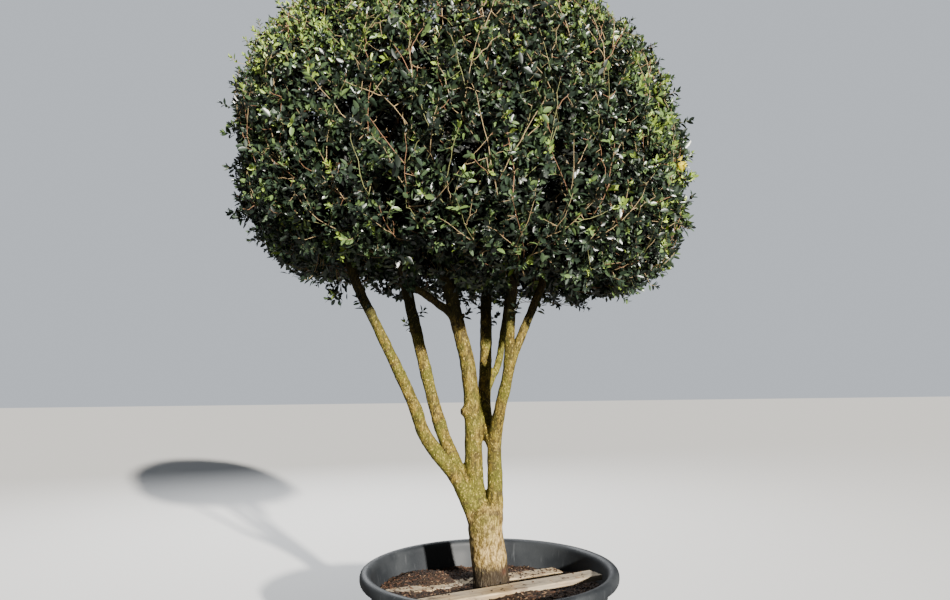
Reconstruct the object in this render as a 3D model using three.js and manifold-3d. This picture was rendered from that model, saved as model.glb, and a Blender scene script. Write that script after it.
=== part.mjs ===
// Potted osmanthus: an evergreen shrub grown as a small tree on several stems, its crown clipped to a
// flattened ball, in a round nursery tub with two loose boards lying on the soil.
// Millimetres, +Z up, +X to the right, and the viewer on the -Y side.
// The origin is the centre of the tub's flat underside.

import * as THREE from "three";
import { mergeVertices } from "three/addons/utils/BufferGeometryUtils.js";
import Module from "manifold-3d";

const wasm = await Module();
wasm.setup();

// Driving dimensions
const GAP = 0.3; // between pieces that touch
const WELD = 0.001; // corners closer than this are one corner
const TRIM = 0.02; // slivers flatter than this are smoothed away after a join
const CLOSE = 1; // a corner this close to a level or an edge belongs to it

const TUB = {
  sides: 36,
  arcSteps: 2,
  height: 650,
  rimRadius: 600,
  rimDepth: 58,
  rimRound: 22,
  neckRadius: 556,
  footRadius: 470,
  footChamfer: 14,
  floor: 12,
  innerFoot: 462,
  innerFillet: 12,
  innerTop: 548,
};

// The soil's height over the tub's underside, and the humps and falls that shape it.
const SOIL = {
  level: 532,
  rings: [0, 105, 190, 290, 420],
  collar: { height: 31, reach: 115 },
  mound: { x: -290, y: 190, height: 46, reach: 118 },
  front: { height: 56, from: -75, to: -190 },
  back: { height: -20, from: 240, to: 520 },
};

// Each board lies flat: its middle line is turned by heading and passes this far from the tub's axis.
const BOARDS = {
  board_front: { length: 934, width: 100, thickness: 25, top: 607, heading: 28.7, offset: -208 },
  board_back: { length: 905, width: 98, thickness: 25, top: 545, heading: 22, offset: 151 },
};

const GROUND = 545; // height of the soil at the trunk, where the trunk is cut flat

// A limb follows a smooth curve through a few points. Its radius falls from base to tip, with a swelling
// (collar) where it starts. A main limb's foot, up to the height fork, belongs to the trunk.
const LIMBS = {
  trunk: {
    base: 80, tip: 80, collar: 13, sides: 12, steps: 10,
    path: [[14, 0, GROUND - 30], [4, 0, 650], [-8, -4, 760], [-20, -8, 860], [-26, -8, 965]],
  },
  left: {
    base: 42, tip: 22, collar: 0, sides: 8, steps: 12, fork: 1092,
    path: [[-36, -8, 790], [-74, -14, 915], [-142, -32, 1062], [-284, -78, 1268], [-330, -120, 1410],
      [-442, -190, 1676], [-544, -255, 1904]],
  },
  centre: {
    base: 49, tip: 32, collar: 0, sides: 8, steps: 10, fork: 1092,
    path: [[-26, -2, 790], [-54, 0, 961], [-65, 0, 1110], [-68, -10, 1350], [-86, -27, 1590],
      [-135, -45, 1800], [-165, -60, 1935]],
  },
  right: {
    base: 44, tip: 20, collar: 0, sides: 8, steps: 12, fork: 1010,
    path: [[14, -10, 790], [30, -14, 905], [33, -18, 1010], [32, -20, 1130], [33, -32, 1246],
      [62, -85, 1405], [92, -125, 1541], [103, -195, 1750], [113, -245, 1884]],
  },
  left_back: {
    base: 32, tip: 29, collar: 5, sides: 7, steps: 8,
    path: [[-112, -24, 1012], [-149, 12, 1120], [-212, 68, 1268], [-286, 138, 1530], [-384, 247, 1938]],
  },
  back: {
    base: 32, tip: 29, collar: 5, sides: 7, steps: 7,
    path: [[31, -28, 1225], [-2, 12, 1305], [-11, 62, 1404], [-3, 118, 1590], [4, 235, 1844],
      [8, 290, 1941]],
  },
  right_back: {
    base: 18, tip: 16, collar: 4, sides: 6, steps: 6,
    path: [[-10, 80, 1440], [14, 112, 1500], [58, 145, 1598], [80, 163, 1709], [113, 190, 1918]],
  },
  front: {
    base: 20, tip: 16, collar: 4, sides: 6, steps: 5,
    path: [[-133, -44, 1795], [-171, -66, 1838], [-240, -148, 1886], [-314, -260, 1931]],
  },
  right_outer: {
    base: 22, tip: 20, collar: 3, sides: 6, steps: 5,
    path: [[92, -127, 1548], [112, -122, 1610], [170, -113, 1752], [230, -100, 1890]],
  },
};
const TAPER = 1.35; // how fast a limb thins above its base
const COLLAR_REACH = 0.16; // share of a limb over which its collar fades
const FLUTES = { count: 5, depth: 0.05 }; // ribs of the root flare
// The trunk closes in between the limbs: from a share of its length, down to a share of its radius.
const DOME = { from: 0.62, end: 0.2 };
const CLIMB_STEP = 0.002; // share of a limb between the places tried when a height is looked for
const FEWEST_STEPS = 2; // along any piece of a limb

// The clipped crown is a flattened ball, fuller below than above, that leans a little to the right.
const CROWN = {
  centre: new THREE.Vector3(-110, 0, 2543),
  radius: 1000,
  up: 777,
  down: 620,
  squareUp: 2.2,
  squareDown: 3.88,
  tilt: THREE.MathUtils.degToRad(3.06),
  skew: -0.09,
};
// The dense heart of the foliage lies this far inside the clipped surface, with shallow lumps.
const CORE = { inset: 128, lump: 24, waves: 6.5, around: 22, over: 12 };
const CELL_GAP = 8; // between the spaces of two masses

// The crown's top mass has the middle of the crown and a cap on it; the others share the ring about that.
const TOP = { throat: 165, throatTop: 2480, capRadius: 620, capFrom: 3040, low: 1700, high: 3600 };
const SECTORS = {
  right: [-22, 20],
  right_back: [20, 56],
  back: [56, 108],
  left_back: [108, 172],
  left_front: [172, 224],
  front: [224, 282],
  right_front: [282, 338],
};
const SECTOR_REACH = 2600;
// Which limb carries each mass.
const CARRIER = {
  top: "centre",
  right: "right_outer",
  right_back: "right_back",
  back: "back",
  left_back: "left_back",
  left_front: "left",
  front: "front",
  right_front: "right",
};

// The wood inside a mass is grown towards evenly spread goals: boughlets first, then the twigs that carry
// leaves out to the clipped surface. Each starts from the nearest joint of the wood that is there already.
const GROWTH = [
  { goals: 46, inset: 430, thick: 15, thin: 10, leafy: false },
  { goals: 92, inset: 98, thick: 13, thin: 10, leafy: true },
];
const HEART = { reach: 0.52, drop: 40, rise: 330 }; // where a mass's stem ends
// The stem goes on from its limb's tip, bends to the heart and thins; its first joints bear nothing.
const STEM = { bend: 0.4, thinning: 0.5, steps: 6, joints: 8, bare: 2 };
const TWIG = { sides: 3, steps: 2, joints: 3, outward: 0.45, tested: 8 };
const LEAF = { length: 132, width: 58, thickness: 9, root: 3, scatter: 0.16 };
// Opposite pairs, each at a distance below the twig's tip, opening at an angle to the twig.
const PAIRS = [
  { below: 40, spread: 62 },
  { below: 6, spread: 32 },
];
const STRAY_PAIR = { below: 96, spread: 52 };
const LEAF_REACH = 108; // from a twig's tip to the tips of its last leaves
const CLEARANCE = 5; // between a leaf and a limb, or the edge of its mass's space
const LIMB_SPANS = 60; // along each limb, to tell whether a twig or leaf would touch it

// Long shoots that have escaped the shears, as the points where their leaves end.
const STRAYS = {
  right: [[1000, -60, 2450]],
  left_front: [[-1196, -90, 2290], [-700, -300, 1800]],
  top: [[-420, -90, 3352]],
  left_back: [[-820, 600, 3010]],
};

const LOOKS = {
  tub: { color: 0x3b3e41, roughness: 0.62 },
  soil: { color: 0x4a372b, roughness: 0.95 },
  board: { color: 0x9a876c, roughness: 0.85 },
  bark: { color: 0x8f8054, roughness: 0.85 },
  foliage: { color: 0x35401f, roughness: 0.6 },
};

// Solids and meshes

function solidOf(geometry) {
  const bare = geometry.clone();
  bare.deleteAttribute("normal");
  bare.deleteAttribute("uv");
  const merged = mergeVertices(bare, WELD);
  const corners = merged.index.array;
  const kept = [];
  for (let i = 0; i < corners.length; i += 3) {
    const [a, b, c] = corners.slice(i, i + 3);
    if (a !== b && b !== c && c !== a) kept.push(a, b, c);
  }
  const mesh = new wasm.Mesh({
    numProp: 3,
    vertProperties: merged.attributes.position.array,
    triVerts: new Uint32Array(kept),
  });
  return new wasm.Manifold(mesh);
}

// The largest body of a solid: loose scraps and sealed hollows are left out.
function oneBody(solid) {
  const bodies = solid.simplify(TRIM).decompose();
  return bodies.reduce((best, body) => (body.volume() > best.volume() ? body : best));
}

function geometryOf(solid) {
  const mesh = solid.getMesh();
  const geometry = new THREE.BufferGeometry();
  geometry.setAttribute("position", new THREE.BufferAttribute(mesh.vertProperties, 3));
  geometry.setIndex(new THREE.BufferAttribute(mesh.triVerts, 1));
  geometry.computeVertexNormals();
  return geometry;
}

const model = new THREE.Group();

function addPart(name, geometry, look) {
  const mesh = new THREE.Mesh(geometry, new THREE.MeshStandardMaterial({ ...look, metalness: 0 }));
  mesh.name = name;
  model.add(mesh);
}

// A profile of [radius, height] points turned round the vertical axis.
function turned(points, sides) {
  const profile = points.map(([radius, height]) => new THREE.Vector2(radius, height));
  return new THREE.LatheGeometry(profile, sides).rotateX(Math.PI / 2);
}

function vector([x, y, z]) {
  return new THREE.Vector3(x, y, z);
}

// Always the same numbers, so that the plant grows the same way each time.
function seeded(seed) {
  let state = seed;
  return () => {
    state = (state + 0x6d2b79f5) | 0;
    let mixed = Math.imul(state ^ (state >>> 15), 1 | state);
    mixed = (mixed + Math.imul(mixed ^ (mixed >>> 7), 61 | mixed)) ^ mixed;
    return ((mixed ^ (mixed >>> 14)) >>> 0) / 2 ** 32;
  };
}

// Tub

function innerRadius(height) {
  const from = TUB.floor + TUB.innerFillet;
  const share = (height - from) / (TUB.height - TUB.innerFillet - from);
  return THREE.MathUtils.lerp(TUB.innerFoot, TUB.innerTop, share);
}

function tub() {
  const { height, rimRadius, rimDepth, rimRound, neckRadius, footRadius, footChamfer } = TUB;
  const { innerTop, innerFillet, innerFoot, floor } = TUB;
  const outline = new THREE.Path();
  outline.moveTo(0, 0);
  outline.lineTo(footRadius - footChamfer, 0);
  outline.lineTo(footRadius, footChamfer);
  outline.lineTo(neckRadius, height - rimDepth);
  outline.lineTo(rimRadius - rimRound, height - rimDepth);
  outline.absarc(rimRadius - rimRound, height - rimDepth + rimRound, rimRound, -Math.PI / 2, 0);
  outline.absarc(rimRadius - rimRound, height - rimRound, rimRound, 0, Math.PI / 2);
  outline.absarc(innerTop + innerFillet, height - innerFillet, innerFillet, Math.PI / 2, Math.PI);
  outline.lineTo(innerFoot, floor + innerFillet);
  outline.lineTo(innerFoot - innerFillet, floor);
  outline.lineTo(0, floor);
  const points = outline.getPoints(TUB.arcSteps).map((point) => [point.x, point.y]);
  return geometryOf(oneBody(solidOf(turned(points, TUB.sides))));
}

// Soil

function soilHeight(x, y) {
  const { collar, mound, front, back } = SOIL;
  const fromTrunk = Math.hypot(x - LIMBS.trunk.path[0][0], y) / collar.reach;
  const fromMound = Math.hypot(x - mound.x, y - mound.y) / mound.reach;
  const towardsFront = THREE.MathUtils.smoothstep(-y, -front.from, -front.to);
  const towardsBack = THREE.MathUtils.smoothstep(y, back.from, back.to);
  const humps = collar.height * Math.exp(-(fromTrunk ** 2)) + mound.height * Math.exp(-(fromMound ** 2));
  return SOIL.level + humps + front.height * towardsFront + back.height * towardsBack;
}

// The tub's filling: its wall follows the tub's, and its top is lifted ring by ring.
function soil() {
  const floor = TUB.floor + GAP;
  const foot = TUB.innerFoot - GAP;
  const profile = [[0, floor], [foot - TUB.innerFillet, floor], [foot, floor + TUB.innerFillet]];
  const topEdge = innerRadius(SOIL.level) - GAP;
  profile.push([topEdge, SOIL.level]);
  for (const ring of SOIL.rings.toReversed()) profile.push([ring, SOIL.level]);
  const geometry = turned(profile, TUB.sides);
  const points = geometry.attributes.position;
  for (let i = 0; i < points.count; i += 1) {
    if (points.getZ(i) < SOIL.level - CLOSE) continue;
    const [x, y] = [points.getX(i), points.getY(i)];
    const height = soilHeight(x, y);
    const radius = Math.hypot(x, y);
    const stretch = radius > topEdge - CLOSE ? (innerRadius(height) - GAP) / radius : 1;
    points.setXYZ(i, x * stretch, y * stretch, height);
  }
  const beds = Object.values(BOARDS).map((board) => boardSolid(board, GAP, TUB.height));
  return oneBody(solidOf(geometry).subtract(wasm.Manifold.union([...beds, trunkSolid(GAP)])));
}

// A board, or the room that it takes: grow thickens it all round and height carries it up.
function boardSolid(board, grow = 0, height = 0) {
  const { length, width, thickness, top, heading, offset } = board;
  const tall = thickness + grow + height;
  const box = new THREE.BoxGeometry(length + 2 * grow, width + 2 * grow, tall);
  box.translate(0, offset, top - thickness - grow + tall / 2);
  box.rotateZ(THREE.MathUtils.degToRad(heading));
  return solidOf(box);
}

// Limbs

function curveOf(limb) {
  return new THREE.CatmullRomCurve3(limb.path.map(vector), false, "centripetal");
}

function radiusAt(limb, share) {
  const taper = limb.tip + (limb.base - limb.tip) * (1 - share) ** TAPER;
  return taper + limb.collar * Math.exp(-share / COLLAR_REACH);
}

// The trunk's own shape: flutes at the root flare, and a dome where the limbs part.
function trunkFactor(share, angle) {
  const flute = 1 + FLUTES.depth * Math.cos(FLUTES.count * angle) * Math.exp(-share / COLLAR_REACH);
  const closing = Math.max(0, share - DOME.from) / (1 - DOME.from);
  return flute * Math.sqrt(1 + DOME.end ** 2 - closing ** 2);
}

// A cylinder laid along a curve between two shares of its length, with flat ends square to the curve.
function tube(curve, from, to, sides, steps, radius) {
  const geometry = new THREE.CylinderGeometry(1, 1, 1, sides, steps);
  const points = geometry.attributes.position;
  const chord = curve.getPointAt(1).sub(curve.getPointAt(0)).normalize();
  const runsAlongY = Math.abs(chord.x) < Math.abs(chord.y);
  const across = runsAlongY ? new THREE.Vector3(1, 0, 0) : new THREE.Vector3(0, 1, 0);
  for (let i = 0; i < points.count; i += 1) {
    const share = THREE.MathUtils.lerp(from, to, points.getY(i) + 0.5);
    const along = curve.getTangentAt(share);
    const side = across.clone().addScaledVector(along, -across.dot(along)).normalize();
    const other = side.clone().cross(along);
    const size = radius(share, Math.atan2(points.getZ(i), points.getX(i)));
    const place = curve.getPointAt(share);
    place.addScaledVector(side, points.getX(i) * size).addScaledVector(other, points.getZ(i) * size);
    points.setXYZ(i, place.x, place.y, place.z);
  }
  return solidOf(geometry);
}

function limbSolid(limb, from, to, grow = 0) {
  const trunk = limb === LIMBS.trunk;
  const radius = (share, angle) => radiusAt(limb, share) * (trunk ? trunkFactor(share, angle) : 1) + grow;
  const steps = Math.max(FEWEST_STEPS, Math.ceil(limb.steps * (to - from)));
  return tube(curveOf(limb), from, to, limb.sides, steps, radius);
}

// The share of a limb's length at which it has climbed to a height.
function shareAtHeight(limb, height) {
  const curve = curveOf(limb);
  let share = 0;
  while (curve.getPointAt(share).z < height) share += CLIMB_STEP;
  return share;
}

// The trunk with the feet of the limbs that fork from it.
function trunkSolid(grow = 0) {
  const feet = Object.values(LIMBS).filter((limb) => limb.fork);
  const pieces = feet.map((limb) => limbSolid(limb, 0, shareAtHeight(limb, limb.fork), grow));
  pieces.push(limbSolid(LIMBS.trunk, 0, 1, grow));
  return wasm.Manifold.union(pieces).trimByPlane([0, 0, 1], GROUND - grow);
}

// The limbs in the order they grow: each is cut clear of the older ones that it leaves.
function limbSolids() {
  const solids = { trunk: oneBody(trunkSolid()) };
  const older = [trunkSolid(GAP)];
  for (const [name, limb] of Object.entries(LIMBS)) {
    if (name === "trunk") continue;
    const foot = limb.fork ? shareAtHeight(limb, limb.fork) + GAP / curveOf(limb).getLength() : 0;
    const whole = limbSolid(limb, foot, 1);
    solids[name] = oneBody(whole.subtract(wasm.Manifold.union(older)));
    older.push(limbSolid(limb, foot, 1, GAP));
  }
  return solids;
}

// Crown

// The point of the crown's surface, or of one drawn in by inset, that lies in a direction from its centre.
function crownPoint(direction, inset = 0) {
  const level = Math.hypot(direction.x, direction.y);
  const power = direction.z > 0 ? CROWN.squareUp : CROWN.squareDown;
  const height = (direction.z > 0 ? CROWN.up : CROWN.down) - inset;
  const radius = CROWN.radius - inset;
  const size = ((level / radius) ** power + (Math.abs(direction.z) / height) ** power) ** (-1 / power);
  const point = direction.clone().multiplyScalar(size * (1 + CROWN.skew * direction.x * direction.z));
  return point.applyAxisAngle(new THREE.Vector3(0, 1, 0), CROWN.tilt).add(CROWN.centre);
}

function coreSolid() {
  const ball = new THREE.SphereGeometry(1, CORE.around, CORE.over).rotateX(Math.PI / 2);
  const points = ball.attributes.position;
  for (let i = 0; i < points.count; i += 1) {
    const out = new THREE.Vector3().fromBufferAttribute(points, i);
    const lump = Math.sin(CORE.waves * (out.x + out.z)) * Math.cos(CORE.waves * (out.y - out.z));
    const place = crownPoint(out, CORE.inset + CORE.lump * lump);
    points.setXYZ(i, place.x, place.y, place.z);
  }
  return solidOf(ball);
}

function topRadius(height) {
  const share = (height - TOP.throatTop) / (TOP.capFrom - TOP.throatTop);
  return THREE.MathUtils.lerp(TOP.throat, TOP.capRadius, THREE.MathUtils.clamp(share, 0, 1));
}

function topSpace(grow) {
  const heights = [TOP.low, TOP.throatTop, TOP.capFrom, TOP.high];
  const wall = heights.map((height) => [topRadius(height) + grow, height]);
  const space = turned([[0, TOP.low], ...wall, [0, TOP.high]], CORE.around);
  return solidOf(space.translate(CROWN.centre.x, CROWN.centre.y, 0));
}

function sectorSpace([from, to], inset) {
  const [start, end] = [from, to].map(THREE.MathUtils.degToRad);
  const middle = (start + end) / 2;
  const apex = inset / Math.sin((end - start) / 2);
  const corners = [[apex, middle], [SECTOR_REACH, start], [SECTOR_REACH, end]];
  const outline = new THREE.Shape(
    corners.map(([reach, angle]) => new THREE.Vector2(reach * Math.cos(angle), reach * Math.sin(angle))),
  );
  const space = new THREE.ExtrudeGeometry(outline, { depth: TOP.high - TOP.low, bevelEnabled: false });
  return solidOf(space.translate(CROWN.centre.x, CROWN.centre.y, TOP.low));
}

// How far inside a mass's own space a point is; less than nothing outside it.
function roomIn(mass, point) {
  const away = new THREE.Vector2(point.x - CROWN.centre.x, point.y - CROWN.centre.y);
  const fromTop = away.length() - topRadius(point.z);
  if (mass === "top") return -fromTop;
  const [start, end] = SECTORS[mass].map(THREE.MathUtils.degToRad);
  const pastStart = away.y * Math.cos(start) - away.x * Math.sin(start);
  const beforeEnd = away.x * Math.sin(end) - away.y * Math.cos(end);
  return Math.min(fromTop, pastStart, beforeEnd);
}

// Directions spread evenly over a ball, each turned from the last by the golden angle.
function spreadDirections(count) {
  const goldenAngle = Math.PI * (3 - Math.sqrt(5));
  return Array.from({ length: count }, (_, i) => {
    const rise = 1 - (2 * (i + 0.5)) / count;
    const level = Math.sqrt(1 - rise * rise);
    return new THREE.Vector3(level * Math.cos(goldenAngle * i), level * Math.sin(goldenAngle * i), rise);
  });
}

// Foliage

function stemCurve(mass) {
  const carrier = curveOf(LIMBS[CARRIER[mass]]);
  const along = carrier.getTangentAt(1);
  const foot = carrier.getPointAt(1).addScaledVector(along, GAP);
  const heart = CROWN.centre.clone();
  if (mass === "top") {
    heart.z += HEART.rise;
  } else {
    const middle = THREE.MathUtils.degToRad((SECTORS[mass][0] + SECTORS[mass][1]) / 2);
    const reach = HEART.reach * CROWN.radius;
    heart.add(new THREE.Vector3(reach * Math.cos(middle), reach * Math.sin(middle), -HEART.drop));
  }
  const bend = foot.clone().addScaledVector(along, STEM.bend * foot.distanceTo(heart));
  return new THREE.QuadraticBezierCurve3(foot, bend, heart);
}

function twigSolid(curve, thick, thin) {
  const radius = (share) => THREE.MathUtils.lerp(thick, thin, share);
  return tube(curve, 0, 1, TWIG.sides, TWIG.steps, radius);
}

// A twig leaves the nearest joint and bends to reach its goal along the line out of the crown.
function twigCurve(joints, goal) {
  const start = joints.reduce((best, joint) =>
    joint.distanceToSquared(goal) < best.distanceToSquared(goal) ? joint : best);
  const outward = goal.clone().sub(CROWN.centre).normalize();
  const bend = goal.clone().addScaledVector(outward, -TWIG.outward * start.distanceTo(goal));
  return new THREE.QuadraticBezierCurve3(start.clone(), bend, goal);
}

// A leaf is a flat lozenge of eight faces that starts behind the twig's middle line.
function leafShape(place, heading, flat, length) {
  const across = flat.clone().cross(heading).normalize();
  const shape = new THREE.OctahedronGeometry(1);
  shape.scale(length / 2, LEAF.width / 2, LEAF.thickness / 2);
  shape.translate(length / 2 - LEAF.root, 0, 0);
  const up = heading.clone().cross(across);
  return shape.applyMatrix4(new THREE.Matrix4().makeBasis(heading, across, up).setPosition(place));
}

// The leaves stand on the last straight length of a twig.
function twigLeaves(curve, random, pairs) {
  const leaves = [];
  const tip = curve.getPointAt(1);
  const along = tip.clone().sub(curve.getPointAt(1 - 1 / TWIG.steps)).normalize();
  let turn = random() * Math.PI;
  for (const pair of pairs) {
    const place = tip.clone().addScaledVector(along, -pair.below);
    const side = new THREE.Vector3(0, 0, 1).cross(along).normalize().applyAxisAngle(along, turn);
    for (const way of [1, -1]) {
      const spread = THREE.MathUtils.degToRad(pair.spread * (1 + LEAF.scatter * (random() - 0.5)));
      const heading = along.clone().multiplyScalar(Math.cos(spread));
      heading.addScaledVector(side, way * Math.sin(spread));
      const flat = along.clone().multiplyScalar(Math.sin(spread));
      flat.addScaledVector(side, -way * Math.cos(spread));
      const size = LEAF.length * (1 + LEAF.scatter * (random() - 0.5));
      leaves.push(leafShape(place, heading, flat, size));
    }
    turn += Math.PI / 2;
  }
  return leaves;
}

// Points along the middle lines of the limbs near the crown, each with the limb's radius there.
const limbPoints = Object.values(LIMBS).flatMap((limb) => {
  const curve = curveOf(limb);
  return Array.from({ length: LIMB_SPANS + 1 }, (_, i) => {
    const share = i / LIMB_SPANS;
    return { place: curve.getPointAt(share), radius: radiusAt(limb, share) };
  });
});

function isFree(mass, points) {
  return points.every((point) =>
    roomIn(mass, point) > CELL_GAP / 2 + CLEARANCE &&
    limbPoints.every(({ place, radius }) => place.distanceTo(point) > radius + CLEARANCE));
}

function cornersOf(geometry) {
  const points = geometry.attributes.position;
  const middle = new THREE.Vector3();
  const corners = [];
  for (let i = 0; i < points.count; i += 1) {
    const corner = new THREE.Vector3().fromBufferAttribute(points, i);
    corners.push(corner);
    middle.addScaledVector(corner, 1 / points.count);
  }
  return [...corners, middle];
}

// One mass: its stem, the wood that grows from it, the leaves, and the dense core that holds them.
function massSolid(mass, core, seed) {
  const random = seeded(seed);
  const space = mass === "top" ? topSpace(-CELL_GAP / 2) : sectorSpace(SECTORS[mass], CELL_GAP / 2);
  const part = core.intersect(space);
  const heart = mass === "top" ? part : part.subtract(topSpace(CELL_GAP / 2));
  const stem = stemCurve(mass);
  const limb = LIMBS[CARRIER[mass]];
  const stemRadius = (share) => limb.tip * (1 - STEM.thinning * share);
  const pieces = [heart, tube(stem, 0, 1, limb.sides, STEM.steps, stemRadius)];
  const joints = stem.getPoints(STEM.joints).slice(STEM.bare);
  const addTwig = (curve, level, pairs) => {
    const line = curve.getPoints(TWIG.tested).slice(1);
    if (!isFree(mass, line)) return;
    pieces.push(twigSolid(curve, level.thick, level.thin));
    joints.push(...curve.getPoints(TWIG.joints).slice(1, -1));
    if (!level.leafy) return;
    for (const leaf of twigLeaves(curve, random, pairs))
      if (isFree(mass, cornersOf(leaf))) pieces.push(solidOf(leaf));
  };
  for (const level of GROWTH) {
    for (const direction of spreadDirections(level.goals)) {
      const goal = crownPoint(direction, level.inset);
      if (roomIn(mass, goal) > 0) addTwig(twigCurve(joints, goal), level, PAIRS);
    }
  }
  const [, finest] = GROWTH;
  for (const end of STRAYS[mass] ?? []) {
    const tip = vector(end);
    const goal = tip.addScaledVector(tip.clone().sub(CROWN.centre).normalize(), -LEAF_REACH);
    addTwig(twigCurve(joints, goal), finest, [...PAIRS, STRAY_PAIR]);
  }
  return oneBody(wasm.Manifold.union(pieces));
}

addPart("tub", tub(), LOOKS.tub);
addPart("soil", geometryOf(soil()), LOOKS.soil);
for (const [name, board] of Object.entries(BOARDS))
  addPart(name, geometryOf(boardSolid(board)), LOOKS.board);
for (const [name, solid] of Object.entries(limbSolids()))
  addPart(name === "trunk" ? name : `bough_${name}`, geometryOf(solid), LOOKS.bark);
const core = coreSolid();
Object.keys(CARRIER).forEach((mass, i) => {
  addPart(`foliage_${mass}`, geometryOf(massSolid(mass, core, i + 1)), LOOKS.foliage);
});

export default model;
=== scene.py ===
"""A potted osmanthus: an evergreen shrub grown as a small tree, its crown clipped to a flattened ball.

Metres, +Z up, +X to the right, the viewer on the -Y side, the origin under the middle of the tub.
"""
from collections import namedtuple
from math import cos, pi, radians, sin, sqrt
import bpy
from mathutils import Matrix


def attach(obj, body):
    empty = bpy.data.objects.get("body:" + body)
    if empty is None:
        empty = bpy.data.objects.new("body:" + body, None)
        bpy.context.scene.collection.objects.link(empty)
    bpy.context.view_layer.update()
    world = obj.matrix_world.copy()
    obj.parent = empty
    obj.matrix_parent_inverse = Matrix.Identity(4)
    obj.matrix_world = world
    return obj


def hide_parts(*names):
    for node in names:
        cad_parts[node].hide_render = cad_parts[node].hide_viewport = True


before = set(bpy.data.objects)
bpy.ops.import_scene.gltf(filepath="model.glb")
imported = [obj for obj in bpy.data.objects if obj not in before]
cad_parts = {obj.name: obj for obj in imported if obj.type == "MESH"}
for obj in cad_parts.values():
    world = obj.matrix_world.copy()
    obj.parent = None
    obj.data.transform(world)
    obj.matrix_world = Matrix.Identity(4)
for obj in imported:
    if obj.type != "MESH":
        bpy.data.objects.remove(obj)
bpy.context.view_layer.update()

from types import SimpleNamespace as Sizes

import bmesh
import bpy
import numpy as np
from mathutils import Matrix, Vector, noise
from numpy.linalg import norm


# The tub
# A nursery tub, moulded in one piece from dark grey plastic. Its wall leans outwards and rolls over into a
# thick round rim, and two shallow beads run round it. The matt face is dusty, scuffed, and muddy at the foot.

TUB_TURNS = 200
# Radius and height, from the middle of the underside up the outside, over the rim and down the inside.
TUB_OUTLINE = [
    (0, 0.004), (0.300, 0.004), (0.436, 0.004), (0.442, 0), (0.456, 0), (0.464, 0.004), (0.469, 0.013),
    (0.4725, 0.030), (0.4965, 0.184), (0.4995, 0.188), (0.5010, 0.194), (0.5013, 0.200), (0.4990, 0.205),
    (0.5000, 0.214), (0.5270, 0.394), (0.5300, 0.398), (0.5315, 0.404), (0.5318, 0.410), (0.5295, 0.415),
    (0.5305, 0.424), (0.5550, 0.578), (0.5580, 0.588), (0.5640, 0.593), (0.5720, 0.594), (0.5800, 0.5925),
    (0.5880, 0.5945), (0.5945, 0.5990), (0.5985, 0.6060), (0.6000, 0.6150), (0.6002, 0.6240), (0.5995, 0.6320),
    (0.5965, 0.6400), (0.5910, 0.6460), (0.5840, 0.6490), (0.5770, 0.6500), (0.5690, 0.6490), (0.5600, 0.6450),
    (0.5530, 0.6380), (0.5490, 0.6290), (0.5475, 0.6200), (0.5462, 0.6060), (0.5440, 0.5900), (0.5385, 0.5540),
    (0.5300, 0.5000), (0.4620, 0.024), (0.4500, 0.0125), (0.200, 0.012), (0, 0.012),
]
WARP = ((2, 0.0016, 0.7), (3, 0.0008, 2.0))  # waves round the tub: how many, how high and from which angle


def placed(thing):
    """The object, linked to the scene."""
    bpy.context.scene.collection.objects.link(thing)
    return thing


def mesh_of(name, points, faces, smooth=True):
    """A piece at the origin from arrays of points and of faces."""
    mesh = bpy.data.meshes.new(name)
    mesh.from_pydata(np.asarray(points).tolist(), [], np.asarray(faces).tolist(), shade_flat=not smooth)
    return placed(bpy.data.objects.new(name, mesh))


def full_turn(steps):
    return np.arange(steps) * 2 * pi / steps


def closed(rings, ends, flip=False):
    """A body's points and faces: walls from ring to ring, and a fan round the point at either end."""
    count, turns = rings.shape[:2]
    near = np.arange(turns)
    far = (near + 1) % turns
    faces = [(count * turns, far, near)]
    for low in range(0, (count - 1) * turns, turns):
        high = low + turns
        wall = [(low + near, low + far, high + far), (low + near, high + far, high + near)]
        faces += wall[::-1] if flip else wall
    faces.append((high + near, high + far, count * turns + 1))
    faces = np.vstack([np.stack(np.broadcast_arrays(*face), 1) for face in faces])
    return np.vstack([rings.reshape(-1, 3), ends]), faces[:, [0, 2, 1]] if flip else faces


def colour(hex_code):
    """A screen colour as the light it stands for."""
    parts = [int(hex_code[i:i + 2], 16) / 255 for i in (0, 2, 4)]
    return tuple(c / 12.92 if c <= 0.04045 else ((c + 0.055) / 1.055) ** 2.4 for c in parts) + (1.0,)


def feed(tree, node, sockets):
    """Sets or links a node's sockets, given by name or by place."""
    for key, value in sockets.items():
        socket = node.inputs[key.replace("_", " ") if isinstance(key, str) else key]
        if isinstance(value, bpy.types.NodeSocket):
            tree.links.new(value, socket)
        else:
            socket.default_value = value
    return node


def put(tree, kind, setup=None, places=None, **named):
    """A node with its choices from setup and its sockets fed by place or by name."""
    node = tree.nodes.new(kind)
    for name, value in (setup or {}).items():
        setattr(node, name, value)
    return feed(tree, node, {**(places or {}), **named})


def new_group(name, kind, inputs, output, output_kind):
    """A node group. Each of its inputs is given with its value, or with its kind where it has none."""
    tree = bpy.data.node_groups.new(name, kind)
    if kind == "GeometryNodeTree":
        tree.is_modifier = True
    for label, value in inputs.items():
        fits = {float: "Float", int: "Int", tuple: "Vector"}.get(type(value), value)
        socket = tree.interface.new_socket(name=label, in_out="INPUT", socket_type="NodeSocket" + fits)
        if fits != value:
            socket.default_value = value
    tree.interface.new_socket(name=output, in_out="OUTPUT", socket_type="NodeSocket" + output_kind)
    return tree, put(tree, "NodeGroupInput").outputs, put(tree, "NodeGroupOutput")


def maths(tree, operation, first, second):
    return put(tree, "ShaderNodeMath", {"operation": operation}, {0: first, 1: second}).outputs[0]


def plus(tree, first, second):
    return maths(tree, "ADD", first, second)


def times(tree, first, second):
    return maths(tree, "MULTIPLY", first, second)


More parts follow.
